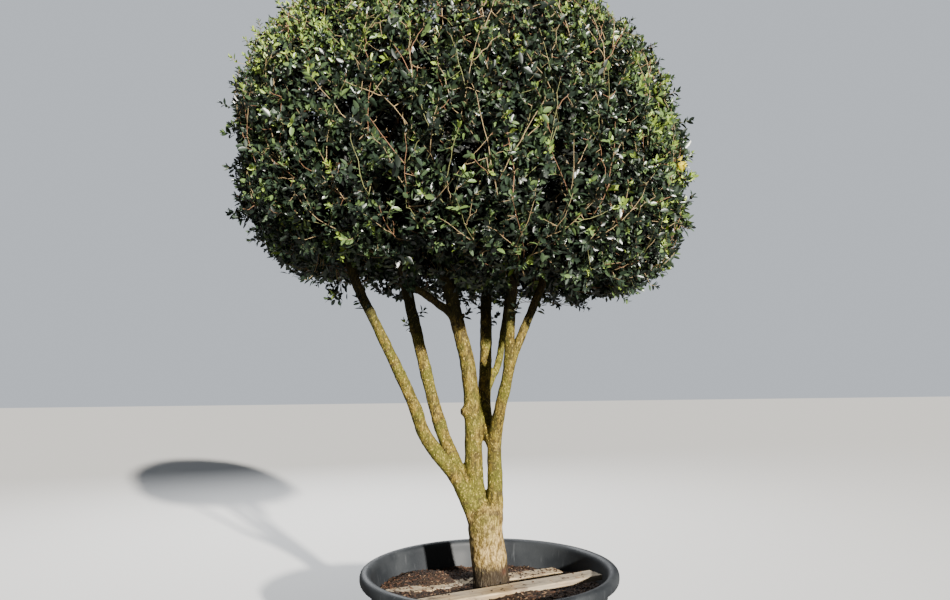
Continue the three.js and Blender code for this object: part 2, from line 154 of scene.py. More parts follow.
def multiplied(tree, vector, by):
    return put(tree, "ShaderNodeVectorMath", {"operation": "MULTIPLY"}, {0: vector, 1: by}).outputs[0]


def tinted(tree, mask, under, over):
    """The colour under, with the colour over laid on it where the mask is 1."""
    under, over = (colour(c) if isinstance(c, str) else c for c in (under, over))
    return put(tree, "ShaderNodeMix", {"data_type": "RGBA"}, {0: mask, 6: under, 7: over}).outputs[2]


def coated(tree, base, *coats):
    """A colour under several coats, each with its mask, its strength and its colour."""
    for mask, strength, over in coats:
        base = tinted(tree, mask if strength == 1 else times(tree, mask, strength), base, over)
    return base


def smooth_step(tree, value, start, end):
    ranged = put(tree, "ShaderNodeMapRange", {"interpolation_type": "SMOOTHSTEP"},
                 Value=value, From_Min=start, From_Max=end)
    return ranged.outputs["Result"]


# Cloudy patches, such as dust, algae or bleached wood: 1 above High, 0 below Low. Turn swings them round the
# upright axis, and then Stretch draws them out along X, Y or Z.
patches, given, result = new_group(
    "patches", "ShaderNodeTree",
    {"Turn": 0.0, "Stretch": (1.0, 1.0, 1.0), "Scale": 10.0, "Detail": 4.0, "Low": 0.45, "High": 0.6},
    "Mask", "Float")
place = put(patches, "ShaderNodeTexCoord").outputs["Object"]
swung = put(patches, "ShaderNodeVectorRotate", {"rotation_type": "Z_AXIS"}, Vector=place, Angle=given["Turn"])
drawn = multiplied(patches, swung.outputs["Vector"], given["Stretch"])
cloud = put(patches, "ShaderNodeTexNoise", Vector=drawn, Scale=given["Scale"], Detail=given["Detail"])
feed(patches, result, {"Mask": smooth_step(patches, cloud.outputs["Fac"], given["Low"], given["High"])})

# Dirt splashed up from below: 1 at the height Level, gone by Level + Reach, with a ragged edge.
splash, given, result = new_group(
    "splash", "ShaderNodeTree", {"Level": 0.0, "Reach": 0.1, "Ragged": 0.05, "Scale": 20.0}, "Mask", "Float")
place = put(splash, "ShaderNodeTexCoord").outputs["Object"]
height = put(splash, "ShaderNodeSeparateXYZ", Vector=place).outputs["Z"]
cloud = put(splash, "ShaderNodeTexNoise", Vector=place, Scale=given["Scale"], Detail=5.0).outputs["Fac"]
ragged = times(splash, maths(splash, "SUBTRACT", cloud, 0.5), given["Ragged"])
above = maths(splash, "SUBTRACT", plus(splash, height, ragged), given["Level"])
share = maths(splash, "DIVIDE", above, given["Reach"])
feed(splash, result, {"Mask": smooth_step(splash, share, 1.0, 0.0)})


def cloudy(tree, scale, detail, low, high, stretch=(1.0, 1.0, 1.0), turn=0.0):
    """The mask of one material's patches."""
    return put(tree, "ShaderNodeGroup", {"node_tree": patches}, Turn=turn, Stretch=stretch, Scale=scale,
               Detail=detail, Low=low, High=high).outputs["Mask"]


def splashed(tree, level, reach, ragged, scale):
    """The mask of one material's dirt."""
    return put(tree, "ShaderNodeGroup", {"node_tree": splash}, Level=level, Reach=reach, Ragged=ragged,
               Scale=scale).outputs["Mask"]


def finish_of(name, **sockets):
    """A new material, its tree, and its shader with its constants set."""
    material = bpy.data.materials.new(name)
    material.use_nodes = True
    tree = material.node_tree
    return material, tree, feed(tree, tree.nodes["Principled BSDF"], sockets)


def plain_finishes(kind, codes, **sockets):
    """Plain base colours, which are all that a piece of thousands of small faces can carry."""
    return {name: finish_of(kind + name.lower(), Base_Color=colour(code), **sockets)[0]
            for name, code in codes.items()}


def relief(tree, height, depth, distance):
    """Bumps from a height between 0 and 1."""
    return put(tree, "ShaderNodeBump", Strength=depth, Distance=distance, Height=height).outputs["Normal"]


turn = full_turn(TUB_TURNS)
rings = np.array(TUB_OUTLINE[1:-1])
radius = rings[:, :1] * (1 + sum(high * np.cos(waves * turn + start) for waves, high, start in WARP))
height = np.repeat(rings[:, 1:], TUB_TURNS, axis=1)
shell = np.stack([radius * np.cos(turn), radius * np.sin(turn), height], -1)
ends = [(0, 0, TUB_OUTLINE[0][1]), (0, 0, TUB_OUTLINE[-1][1])]
tub = mesh_of("moulded_tub", *closed(shell, ends))

tub_plastic, tree, shader = finish_of("tub_plastic", Specular_IOR_Level=0.36)
dust = cloudy(tree, 5.5, 7.0, 0.4, 0.72)
scuffs = cloudy(tree, 60.0, 5.0, 0.60, 0.80, stretch=(1.0, 1.0, 0.05))
pores = cloudy(tree, 260.0, 2.0, 0.3, 0.8)
mud = splashed(tree, -0.02, 0.16, 0.12, 14.0)
feed(tree, shader, {
    "Base_Color": coated(tree, "1a1d21", (dust, 1, "2d3033"), (scuffs, 0.45, "5c5f61"), (pores, 0.18, "404446"),
                         (mud, 0.7, "6b5b49")),
    "Roughness": plus(tree, plus(tree, times(tree, dust, 0.16), 0.52), times(tree, mud, 0.15)),
    "Normal": relief(tree, plus(tree, times(tree, pores, 0.5), scuffs), 0.25, 0.0006)})
tub.data.materials.append(tub_plastic)
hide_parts("tub")
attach(tub, "root")


# The soil
# Potting mulch of reddish bark and peat, heaped at the back left and banked up under the front board, with
# chips and crumbs strewn over it. It fills the tub.

SOIL = Sizes(level=0.532, top_radius=0.5365, foot_radius=0.4605, floor=0.0125, wall_lean=0.31)
COLLAR = Sizes(x=0.014, height=0.031, reach=0.115)
MOUND = Sizes(x=-0.290, y=0.190, height=0.046, reach=0.118)
FRONT_BANK = Sizes(start=0.075, end=0.190, height=0.056)
BACK_FALL = Sizes(start=0.240, end=0.520, height=-0.020)
SOIL_RINGS, SOIL_TURNS, RING_SPACING = 96, 300, 0.8
CLODS = [(9, 0.010), (24, 0.0075), (60, 0.0042), (130, 0.0022)]  # lumps per metre, and how high
CLOD_SEED = 4.0


def eased(value, start, end):
    share = np.clip((value - start) / (end - start), 0, 1)
    return share * share * (3 - 2 * share)


def noise_at(points, fineness=1, finer=1, shift=(0, 0, 0)):
    return np.array([noise.noise(Vector(p) * fineness * finer + Vector(shift)) for p in points])


def lumps(points, layers, seed):
    """The sum of several layers of smooth noise, each with its own fineness and height."""
    return sum(high * noise_at(points, fineness, shift=(seed, seed * 2.1, seed * 3.7 + fineness))
               for fineness, high in layers)


turn = full_turn(SOIL_TURNS)
radius = SOIL.top_radius * (np.arange(1, SOIL_RINGS + 1) / SOIL_RINGS) ** RING_SPACING
x, y = (radius[:, None] * np.cos(turn)).ravel(), (radius[:, None] * np.sin(turn)).ravel()
from_trunk = np.hypot(x - COLLAR.x, y) / COLLAR.reach
from_mound = np.hypot(x - MOUND.x, y - MOUND.y) / MOUND.reach
z = SOIL.level + COLLAR.height * np.exp(-from_trunk ** 2) + MOUND.height * np.exp(-from_mound ** 2)
for bank, outwards in ((FRONT_BANK, -y), (BACK_FALL, y)):
    z = z + bank.height * eased(outwards, bank.start, bank.end)
z += lumps(np.stack([x, y, x * 0], 1), CLODS, CLOD_SEED)
lean = 1 + (z - SOIL.level) * SOIL.wall_lean
surface = np.stack([x * lean, y * lean, z], 1)
wall_reach = SOIL.foot_radius / SOIL.top_radius
foot_x, foot_y = x[-SOIL_TURNS:] * wall_reach, y[-SOIL_TURNS:] * wall_reach
rings = np.vstack([surface, np.stack([foot_x, foot_y, foot_x * 0 + SOIL.floor], 1)]).reshape(-1, SOIL_TURNS, 3)
ends = [(0, 0, SOIL.level + COLLAR.height), (0, 0, SOIL.floor)]
soil = mesh_of("mulch_bed", *closed(rings, ends, flip=True))

mulch, tree, shader = finish_of("mulch", Specular_IOR_Level=0.2, Roughness=0.95)
crumbs = cloudy(tree, 120.0, 4.0, 0.4, 0.62)
fibres = cloudy(tree, 300.0, 3.0, 0.35, 0.75, stretch=(1.0, 0.3, 1.0))
damp = cloudy(tree, 7.0, 5.0, 0.42, 0.62)
feed(tree, shader, {
    "Base_Color": coated(tree, "1e1712", (crumbs, 1, "3d2f25"), (fibres, 0.35, "644f3c"),
                         (damp, 0.6, "241c17")),
    "Normal": relief(tree, plus(tree, crumbs, fibres), 0.8, 0.003)})
soil.data.materials.append(mulch)

# Chips and crumbs of bark: strewn over the bed and, more thinly, on the boards. Each is an uneven sliver lying
# at any angle, in one of three plain browns.
CHIP_SIZES = ((0.006, 0.003, 0.0012), (0.030, 0.012, 0.0055))
CHIP_TURNS = ((-0.6, -0.6, 0.0), (0.6, 0.6, 2 * pi))
CHIP_BROWNS = {"Dark": "261d17", "Red": "493224", "Pale": "725c46"}
LAID_ON_ABOVE = (-1.0, 0.45, 0.88)  # the share of the chips above which each brown is laid on
LEVEL_ENOUGH = 0.5
BED_CHIPS, BED_SEED = 4200.0, 3

strewn, given, result = new_group(
    "strewn_chips", "GeometryNodeTree",
    {"Bed": "Geometry", "Chip": "Object", "Per Square Metre": 3500.0, "Seed": 1, "Dark": "Material",
     "Red": "Material", "Pale": "Material"}, "Chips", "Geometry")
normal = put(strewn, "GeometryNodeInputNormal").outputs[0]
facing = put(strewn, "ShaderNodeSeparateXYZ", Vector=normal).outputs["Z"]
upper = put(strewn, "FunctionNodeCompare", {"operation": "GREATER_THAN"}, A=facing, B=LEVEL_ENOUGH).outputs[0]
spread = put(strewn, "GeometryNodeDistributePointsOnFaces", Mesh=given["Bed"], Selection=upper,
             Density=given["Per Square Metre"], Seed=given["Seed"])
size, turn = (put(strewn, "FunctionNodeRandomValue", {"data_type": "FLOAT_VECTOR"}, Seed=given["Seed"],
                  Min=least, Max=most).outputs[0] for least, most in (CHIP_SIZES, CHIP_TURNS))
chip_shape = put(strewn, "GeometryNodeObjectInfo", Object=given["Chip"])
laid = put(strewn, "GeometryNodeInstanceOnPoints", Points=spread.outputs["Points"],
           Instance=chip_shape.outputs["Geometry"], Rotation=turn, Scale=size)
chance = put(strewn, "FunctionNodeRandomValue", {"data_type": "FLOAT"}, Seed=given["Seed"])
noted = put(strewn, "GeometryNodeStoreNamedAttribute", {"data_type": "FLOAT", "domain": "INSTANCE"},
            Geometry=laid.outputs["Instances"], Name="shade", Value=chance.outputs[1])
dressed = put(strewn, "GeometryNodeRealizeInstances", Geometry=noted.outputs["Geometry"]).outputs["Geometry"]
shade = put(strewn, "GeometryNodeInputNamedAttribute", {"data_type": "FLOAT"}, Name="shade").outputs[0]
for label, over in zip(CHIP_BROWNS, LAID_ON_ABOVE):
    chosen = put(strewn, "FunctionNodeCompare", {"operation": "GREATER_THAN"}, A=shade, B=over).outputs[0]
    painted = put(strewn, "GeometryNodeSetMaterial", Geometry=dressed, Selection=chosen, Material=given[label])
    dressed = painted.outputs["Geometry"]
feed(strewn, result, {"Chips": dressed})

chip_points = [(-0.5, -0.3, -0.2), (0.42, -0.5, -0.35), (0.5, 0.35, 0.1), (-0.4, 0.5, -0.3),
               (-0.42, -0.2, 0.45), (0.3, -0.4, 0.4), (0.44, 0.2, 0.5), (-0.3, 0.36, 0.32), (0, 0, 0.62)]
chip_faces = [(0, 3, 2), (0, 2, 1), (0, 1, 5), (0, 5, 4), (1, 2, 6), (1, 6, 5), (2, 3, 7), (2, 7, 6),
              (3, 0, 4), (3, 4, 7), (4, 5, 8), (5, 6, 8), (6, 7, 8), (7, 4, 8)]
chip = mesh_of("chip_shape", chip_points, chip_faces, smooth=False)
chip_finishes = plain_finishes("chip_", CHIP_BROWNS, Roughness=0.85, Specular_IOR_Level=0.25)
chip.data.materials.append(chip_finishes["Dark"])


def made_by(recipe, bed, values):
    """The mesh that a recipe makes from a bed. Its inputs are set before it first runs."""
    carrier = placed(bpy.data.objects.new("bed", bed))
    maker = carrier.modifiers.new("maker", "NODES")
    maker.node_group = recipe
    sockets = {item.name: item.identifier for item in recipe.interface.items_tree if item.in_out == "INPUT"}
    for label, value in values.items():
        maker[sockets[label]] = value
    made = bpy.data.meshes.new_from_object(carrier.evaluated_get(bpy.context.evaluated_depsgraph_get()))
    bpy.data.objects.remove(carrier)
    return made


def strew(name, bed, density, seed):
    """Chips on a mesh's upper faces, as one plain piece."""
    values = {"Per Square Metre": density, "Seed": seed, "Chip": chip, **chip_finishes}
    return placed(bpy.data.objects.new(name, made_by(strewn, bed, values)))


bed_chips = strew("bark_chips", soil.data, BED_CHIPS, BED_SEED)
for piece in (soil, bed_chips):
    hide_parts("soil")
    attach(piece, "root")


# The boards
# Two sawn softwood boards thrown on the soil, gone grey and pale in the weather, with raised grain, worn
# edges and split ends. They only lie there, sunk a little into the mulch.

BOARDS = {
    "board_front": Sizes(length=0.934, width=0.100, thickness=0.025, top=0.607, heading=28.7, offset=-0.208,
                         seed=3, chips=260.0, chip_seed=11),
    "board_back": Sizes(length=0.905, width=0.098, thickness=0.025, top=0.545, heading=22.0, offset=0.151,
                        seed=7, chips=2200.0, chip_seed=12),
}
BOARD_STATIONS = 150
FACE_POINTS, CORNER_POINTS, COARSER_BELOW = 22, 4, 3
BOARD_EDGE = 0.004  # radius of the worn edges
BOARD_GRAIN = [(260, 0.0007), (90, 0.0009)]  # ridges per metre across the board, and how high
ALONG_GRAIN, THROUGH_GRAIN = 5, 60
FRAYED = Sizes(reach=0.02, least=0.004, more=0.010, lowest=-0.4, across=130, through=90)
BOW = Sizes(height=0.0025, per_metre=4)


def board_section(width, thickness):
    """Points round a board's end, close together across its faces."""
    side, face = width / 2 - BOARD_EDGE, thickness / 2 - BOARD_EDGE
    across = np.linspace(-side, side, FACE_POINTS)
    quarter = np.linspace(0, pi / 2, CORNER_POINTS)
    around = []
    for start, (y, z) in enumerate(((side, face), (-side, face), (-side, -face), (side, -face))):
        around += [(y + BOARD_EDGE * cos(turn_by), z + BOARD_EDGE * sin(turn_by))
                   for turn_by in quarter + start * pi / 2]
        if start == 0:
            around += [(y, thickness / 2) for y in across[-2:0:-1]]
        if start == 2:
            around += [(y, -thickness / 2) for y in across[1:-1:COARSER_BELOW]]
    return np.array(around)


def board_mesh(name, sizes):
    """A board turned to its heading and laid in its place."""
    section = board_section(sizes.width, sizes.thickness)
    half, seed = sizes.length / 2, sizes.seed
    x = np.repeat(np.linspace(-half, half, BOARD_STATIONS), len(section))
    y, z = np.tile(section, (BOARD_STATIONS, 1)).T
    grain = sum(high * noise_at(np.stack([x * ALONG_GRAIN + seed, y * fineness, z * THROUGH_GRAIN], 1))
                for fineness, high in BOARD_GRAIN)
    worn = 1 + grain / np.hypot(y, z)
    ends = np.clip((np.abs(x) - half + FRAYED.reach) / FRAYED.reach, 0, 1)
    frayed = noise_at(np.stack([x * 0 + seed * 3, y * FRAYED.across, z * FRAYED.through], 1))
    x = x - np.sign(x) * ends * (FRAYED.least + FRAYED.more * np.clip(frayed, FRAYED.lowest, 1))
    rings = np.stack([x, y * worn, z * worn + BOW.height * np.sin(x * BOW.per_metre + seed)], 1)
    rings = rings.reshape(BOARD_STATIONS, -1, 3)
    board = mesh_of(name, *closed(rings, [rings[0].mean(0), rings[-1].mean(0)]))
    lift = Matrix.Translation((0, sizes.offset, sizes.top - sizes.thickness / 2))
    board.data.transform(Matrix.Rotation(radians(sizes.heading), 4, "Z") @ lift)
    return board


for number, (name, sizes) in enumerate(BOARDS.items()):
    board = board_mesh(name.replace("board", "weathered_board"), sizes)
    weathered, tree, shader = finish_of("weathered_wood_" + str(number + 1), Specular_IOR_Level=0.25)
    swing = -radians(sizes.heading)
    grain = cloudy(tree, 330.0, 5.0, 0.38, 0.64, stretch=(0.035, 1.0, 1.0), turn=swing)
    broad = cloudy(tree, 70.0, 3.0, 0.42, 0.62, stretch=(0.09, 1.0, 1.0), turn=swing)
    splits = cloudy(tree, 150.0, 1.0, 0.68, 0.72, stretch=(0.02, 1.0, 1.0), turn=swing)
    greyed = cloudy(tree, 4.0, 5.0, 0.4, 0.62)
    soiled = cloudy(tree, 16.0, 6.0, 0.58, 0.72)
    feed(tree, shader, {
        "Base_Color": coated(tree, "96805f", (broad, 1, "bba680"), (grain, 0.5, "7a6750"),
                             (greyed, 0.55, "8f8a80"), (soiled, 0.6, "4f3b2b"), (splits, 1, "2c241d")),
        "Roughness": plus(tree, times(tree, grain, 0.12), 0.74),
        "Normal": relief(tree, maths(tree, "SUBTRACT", grain, splits), 0.6, 0.0015)})
    board.data.materials.append(weathered)
    spilt = strew(name.replace("board", "chips_on_board"), board.data, sizes.chips, sizes.chip_seed)
    for piece in (board, spilt):
        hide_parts(name)
        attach(piece, "root")
bpy.data.objects.remove(chip)


# The trunk and boughs
# Living wood, flat cut at soil level. The trunk leans left, flares at its roots and forks into three stems,
# which fork again and run bare up to the crown. The bark is thin and tan, filmed with green algae, cracked near
# the soil, where a painted shadow darkens it to grey, and crossed by dark scars higher up. Painted shade
# darkens the stems under the crown. All of it is one skin over tapering limbs.

Limb = namedtuple("Limb", "base tip collar path")
LIMBS = {
    "trunk": Limb(0.080, 0.080, 0.013, [
        (0.014, 0, 0.515), (0.004, 0, 0.650), (-0.008, -0.004, 0.760), (-0.020, -0.008, 0.860),
        (-0.026, -0.008, 0.965)]),
    "bough_left": Limb(0.042, 0.022, 0, [
        (-0.036, -0.008, 0.790), (-0.074, -0.014, 0.915), (-0.142, -0.032, 1.062), (-0.284, -0.078, 1.268),
        (-0.330, -0.120, 1.410), (-0.442, -0.190, 1.676), (-0.544, -0.255, 1.904)]),
    "bough_centre": Limb(0.049, 0.032, 0, [
        (-0.026, -0.002, 0.790), (-0.054, 0, 0.961), (-0.065, 0, 1.110), (-0.068, -0.010, 1.350),
        (-0.086, -0.027, 1.590), (-0.135, -0.045, 1.800), (-0.165, -0.060, 1.935)]),
    "bough_right": Limb(0.044, 0.020, 0, [
        (0.014, -0.010, 0.790), (0.030, -0.014, 0.905), (0.033, -0.018, 1.010), (0.032, -0.020, 1.130),
        (0.033, -0.032, 1.246), (0.062, -0.085, 1.405), (0.092, -0.125, 1.541), (0.103, -0.195, 1.750),
        (0.113, -0.245, 1.884)]),
    "bough_left_back": Limb(0.032, 0.029, 0.005, [
        (-0.112, -0.024, 1.012), (-0.149, 0.012, 1.120), (-0.212, 0.068, 1.268), (-0.286, 0.138, 1.530),
        (-0.384, 0.247, 1.938)]),
    "bough_back": Limb(0.032, 0.029, 0.005, [
        (0.031, -0.028, 1.225), (-0.002, 0.012, 1.305), (-0.011, 0.062, 1.404), (-0.003, 0.118, 1.590),
        (0.004, 0.235, 1.844), (0.008, 0.290, 1.941)]),
    "bough_right_back": Limb(0.018, 0.016, 0.004, [
        (-0.010, 0.080, 1.440), (0.014, 0.112, 1.500), (0.058, 0.145, 1.598), (0.080, 0.163, 1.709),
        (0.113, 0.190, 1.918)]),
    "bough_front": Limb(0.020, 0.016, 0.004, [
        (-0.133, -0.044, 1.795), (-0.171, -0.066, 1.838), (-0.240, -0.148, 1.886), (-0.314, -0.260, 1.931)]),
    "bough_right_outer": Limb(0.022, 0.020, 0.003, [
        (0.092, -0.127, 1.548), (0.112, -0.122, 1.610), (0.170, -0.113, 1.752), (0.230, -0.100, 1.890)]),
}
TAPER, COLLAR_REACH = 1.35, 0.16
FLUTES = Sizes(count=5, depth=0.05)
DOME = Sizes(start=0.62, blunt=0.2)
# Where branches once stood: place, radius and how far the knot stands out.
KNOTS = [((-0.107, -0.028, 1.378), 0.020, 0.030), ((0.068, -0.152, 1.551), 0.013, 0.008),
         ((-0.050, -0.075, 1.130), 0.014, 0.004), ((0.045, -0.062, 1.180), 0.012, 0.004),
         ((-0.300, -0.125, 1.300), 0.013, 0.005), ((0.075, -0.060, 0.640), 0.030, 0.006),
         ((-0.075, 0.040, 1.500), 0.014, 0.008), ((-0.240, 0.110, 1.400), 0.013, 0.007)]
KNOT_DENT, KNOT_FACE = (0.7, 0.42), 0.55
# The furrow where the right stem's foot has grown into the trunk.
CREASE = Sizes(reach=0.0085, depth=0.0085, path=[
    (-0.018, -0.075, 0.975), (-0.008, -0.086, 0.900), (0.008, -0.086, 0.830), (0.026, -0.078, 0.750)])
BARK_CELL = 0.0058  # size of the skin's faces; they are halved on the cracked foot
FOOT_TOP = 0.740
CRACKED = Sizes(start=0.700, end=0.580, thin=0.0006, deep=0.0030, per_metre=(62, 62, 15), narrow=2.4)
KNOBS, KNOB_SEED = [(13, 0.0030), (34, 0.0016)], 2.0
SCARS = Sizes(height=0.0005, along=17, across=9, narrow=7)
TRUNK_SIDES, TRUNK_STEPS, LIMB_SIDES, LIMB_STEP = 40, 40, 24, 0.02  # a limb's rings stand one step apart
LINE_STEPS, TANGENT_SHARE = 24, 0.004
WALK_SAMPLES, WALK_BLOCK, LIMBS_APART = 90, 4000, 3.1
CREASE_SAMPLES, LIMB_SAMPLES = 60, 61


class Line:
    """A smooth curve through a few points, walked by shares of its length."""

    def __init__(self, path):
        knots = np.array(path, float)
        knots = np.vstack([2 * knots[0] - knots[1], knots, 2 * knots[-1] - knots[-2]])
        steps = np.sqrt(norm(np.diff(knots, axis=0), axis=1))
        spans = len(knots) - 3
        before, here, ahead, after = (knots[i:i + spans, None] for i in range(4))
        first, middle, last = (steps[i:i + spans, None, None] for i in range(3))
        on = ahead - here
        leave = ((here - before) / first - (ahead - before) / (first + middle) + on / middle) * middle
        arrive = (on / middle - (after - here) / (middle + last) + (after - ahead) / last) * middle
        t = np.linspace(0, 1, LINE_STEPS, endpoint=False)[:, None]
        walked = here + leave * t + (3 * on - 2 * leave - arrive) * t ** 2 + (leave - 2 * on + arrive) * t ** 3
        self.points = np.vstack([walked.reshape(-1, 3), knots[-2]])
        lengths = norm(np.diff(self.points, axis=0), axis=1)
        self.length = lengths.sum()
        self.shares = np.concatenate([[0], np.cumsum(lengths)]) / self.length

    def at(self, shares):
        return np.stack([np.interp(shares, self.shares, self.points[:, k]) for k in range(3)], -1)

    def tangents(self, shares):
        ahead, behind = np.minimum(shares + TANGENT_SHARE, 1), np.maximum(shares - TANGENT_SHARE, 0)
        return unit(self.at(ahead) - self.at(behind))


def unit(vectors):
    return vectors / norm(vectors, axis=-1, keepdims=True)


def limb_radius(limb, share):
    taper = limb.tip + (limb.base - limb.tip) * (1 - share) ** TAPER
    return taper + limb.collar * np.exp(-share / COLLAR_REACH)


def tube(line, radius, sides, steps):
    """A closed tube along a line. Its radius depends on the share of the length and on the angle."""
    shares = np.linspace(0, 1, steps + 1)
    places, along = line.at(shares), line.tangents(shares)
    chord = np.abs(places[-1] - places[0])
    across = np.eye(3)[0 if chord[0] < chord[1] else 1]
    side = unit(across - along * (along @ across)[:, None])
    other = np.cross(along, side)
    angle = full_turn(sides)
    size = radius(shares[:, None], angle[None, :]) * np.ones((steps + 1, sides))
    rings = (places[:, None] + side[:, None] * (size * np.cos(angle))[..., None]
             + other[:, None] * (size * np.sin(angle))[..., None])
    return closed(rings, [places[0], places[-1]])


def trunk_radius(share, angle):
    flute = 1 + FLUTES.depth * np.cos(FLUTES.count * angle) * np.exp(-share / COLLAR_REACH)
    closing = np.maximum(0, share - DOME.start) / (1 - DOME.start)
    return limb_radius(LIMBS["trunk"], share) * flute * np.sqrt(1 + DOME.blunt ** 2 - closing ** 2)


limb_lines = {name: Line(limb.path) for name, limb in LIMBS.items()}

# The masses of foliage, the limb that carries each, and the sector that each fills, in degrees. From the limb's
# tip a stem bends on to the mass's heart.
MASSES = {"top": ("bough_centre", None), "right": ("bough_right_outer", (-22, 20)),
          "right_back": ("bough_right_back", (20, 56)), "back": ("bough_back", (56, 108)),
          "left_back": ("bough_left_back", (108, 172)), "left_front": ("bough_left", (172, 224)),
          "front": ("bough_front", (224, 282)), "right_front": ("bough_right", (282, 338))}
CROWN_CENTRE = np.array([-0.110, 0.0, 2.543])
CROWN = Sizes(radius=1.000, up=0.777, down=0.620, square_up=2.2, square_down=3.88, tilt=radians(3.06),
              skew=-0.09)
HEART = Sizes(reach=0.52, drop=0.040, rise=0.330)
STEM = Sizes(bend=0.4, thinning=0.5, joints=8, bare=2, spans=12, sides=16, steps=30)


def bent(start, control, end, steps):
    """Points along a curve that leaves start towards control and comes to end."""
    t = np.linspace(0, 1, steps + 1)[:, None]
    return (1 - t) ** 2 * start + 2 * t * (1 - t) * control + t ** 2 * end


def stem_points(mass, steps):
    """The stem from a limb's tip to the heart of the mass that it carries."""
    carrier, sector = MASSES[mass]
    line, end = limb_lines[carrier], np.array([1.0])
    foot, along = line.at(end)[0], line.tangents(end)[0]
    heart = CROWN_CENTRE + (0, 0, HEART.rise)
    if sector:
        middle = radians(sum(sector) / 2)
        reach = HEART.reach * CROWN.radius
        heart = CROWN_CENTRE + (reach * cos(middle), reach * sin(middle), -HEART.drop)
    return bent(foot, foot + along * STEM.bend * norm(heart - foot), heart, steps)


tubes = [tube(limb_lines["trunk"], trunk_radius, TRUNK_SIDES, TRUNK_STEPS)]
for name, limb in LIMBS.items():
    if name != "trunk":
        steps = int(limb_lines[name].length / LIMB_STEP)
        tubes.append(tube(limb_lines[name], lambda share, angle: limb_radius(limb, share), LIMB_SIDES, steps))
for mass, (carrier, _) in MASSES.items():
    tubes.append(tube(Line(stem_points(mass, STEM.spans)),
                      lambda share, angle: LIMBS[carrier].tip * (1 - STEM.thinning * share),
                      STEM.sides, STEM.steps))
starts = np.cumsum([0] + [len(points) for points, _ in tubes])
rough_skin = mesh_of("rough_skin", np.vstack([points for points, _ in tubes]),
                     np.vstack([faces + start for (_, faces), start in zip(tubes, starts)]))
fused = rough_skin.modifiers.new("fused", "REMESH")
fused.mode, fused.voxel_size = "VOXEL", BARK_CELL
eased_over = rough_skin.modifiers.new("eased", "SMOOTH")
eased_over.iterations = 3
bark_mesh = bpy.data.meshes.new_from_object(rough_skin.evaluated_get(bpy.context.evaluated_depsgraph_get()))
bpy.data.objects.remove(rough_skin)

finer = bmesh.new()
finer.from_mesh(bark_mesh)
foot = [e for e in finer.edges if max(e.verts[0].co.z, e.verts[1].co.z) < FOOT_TOP]
bmesh.ops.subdivide_edges(finer, edges=foot, cuts=1, use_grid_fill=True)
bmesh.ops.triangulate(finer, faces=[f for f in finer.faces if len(f.verts) > 4])
finer.normal_update()
places = np.array([v.co for v in finer.verts])
normals = np.array([v.normal for v in finer.verts])

# Each point of the skin reads how far along its limb it is, so that the scars can ring the limb.
samples = np.linspace(0, 1, WALK_SAMPLES)
walk = np.vstack([line.at(samples) for line in limb_lines.values()])
walked = np.concatenate([samples * line.length + LIMBS_APART * i for i, line in enumerate(limb_lines.values())])
along = np.empty(len(places))
for start in range(0, len(places), WALK_BLOCK):
    block = places[start:start + WALK_BLOCK]
    gaps = (block ** 2).sum(1)[:, None] - 2 * block @ walk.T + (walk ** 2).sum(1)[None]
    along[start:start + WALK_BLOCK] = walked[np.argmin(gaps, 1)]

foot_share = eased(places[:, 2], CRACKED.start, CRACKED.end)
cracks = 1 - np.abs(noise_at(places * CRACKED.per_metre)) * CRACKED.narrow
scars = np.column_stack([along * SCARS.along, places[:, :2] * SCARS.across])
scars = np.maximum(0, 1 - np.abs(noise_at(scars)) * SCARS.narrow)
rise = (lumps(places, KNOBS, KNOB_SEED) - cracks * (CRACKED.thin + CRACKED.deep * foot_share)
        + SCARS.height * scars * (1 - foot_share))
seam_shares = np.linspace(0, 1, CREASE_SAMPLES)
seam = norm(places[:, None] - Line(CREASE.path).at(seam_shares)[None], axis=2)
seam_ends = 1 - seam_shares[seam.argmin(1)] ** 2
rise -= CREASE.depth * np.exp(-(seam.min(1) / CREASE.reach) ** 2) * seam_ends
pruned = np.zeros(len(places))
for place, reach, out in KNOTS:
    gap = norm(places - place, axis=1) / reach
    rise += out * (np.exp(-gap ** 2) - KNOT_DENT[0] * np.exp(-(gap / KNOT_DENT[1]) ** 2))
    pruned = np.maximum(pruned, np.exp(-(gap / KNOT_FACE) ** 2))
places += normals * rise[:, None]
for vertex, place in zip(finer.verts, places):
    vertex.co = place
finer.to_mesh(bark_mesh)
finer.free()
for name, values in (("along", along), ("pruned", pruned)):
    bark_mesh.attributes.new(name, "FLOAT", "POINT").data.foreach_set("value", values.astype(np.float32))
bark_mesh.shade_smooth()
wood = placed(bpy.data.objects.new("bark_of_trunk_and_boughs", bark_mesh))

bark, tree, shader = finish_of("bark", Specular_IOR_Level=0.25)
mottled = cloudy(tree, 64.0, 8.0, 0.40, 0.62, stretch=(1.0, 1.0, 0.4))
speckled = cloudy(tree, 140.0, 5.0, 0.55, 0.68, stretch=(1.0, 1.0, 0.7))
low_trunk = splashed(tree, 0.700, 0.300, 0.10, 14.0)
# Painted shadow: a dark grey band at the trunk's foot, as if something beyond the scene shaded it. The same
# band opens the cracks wider.
greyed = splashed(tree, 0.630, 0.060, 0.09, 30.0)
# Painted shade: the mask is 1 below the crown and fades out by 1.86 m, above which the stems are darkened as if
# shaded by the crown.
below_painted_crown_shade = splashed(tree, 1.700, 0.160, 0.20, 9.0)
higher_up = maths(tree, "SUBTRACT", 1.0, times(tree, low_trunk, 0.75))
algae = times(tree, cloudy(tree, 8.0, 8.0, 0.38, 0.58), higher_up)
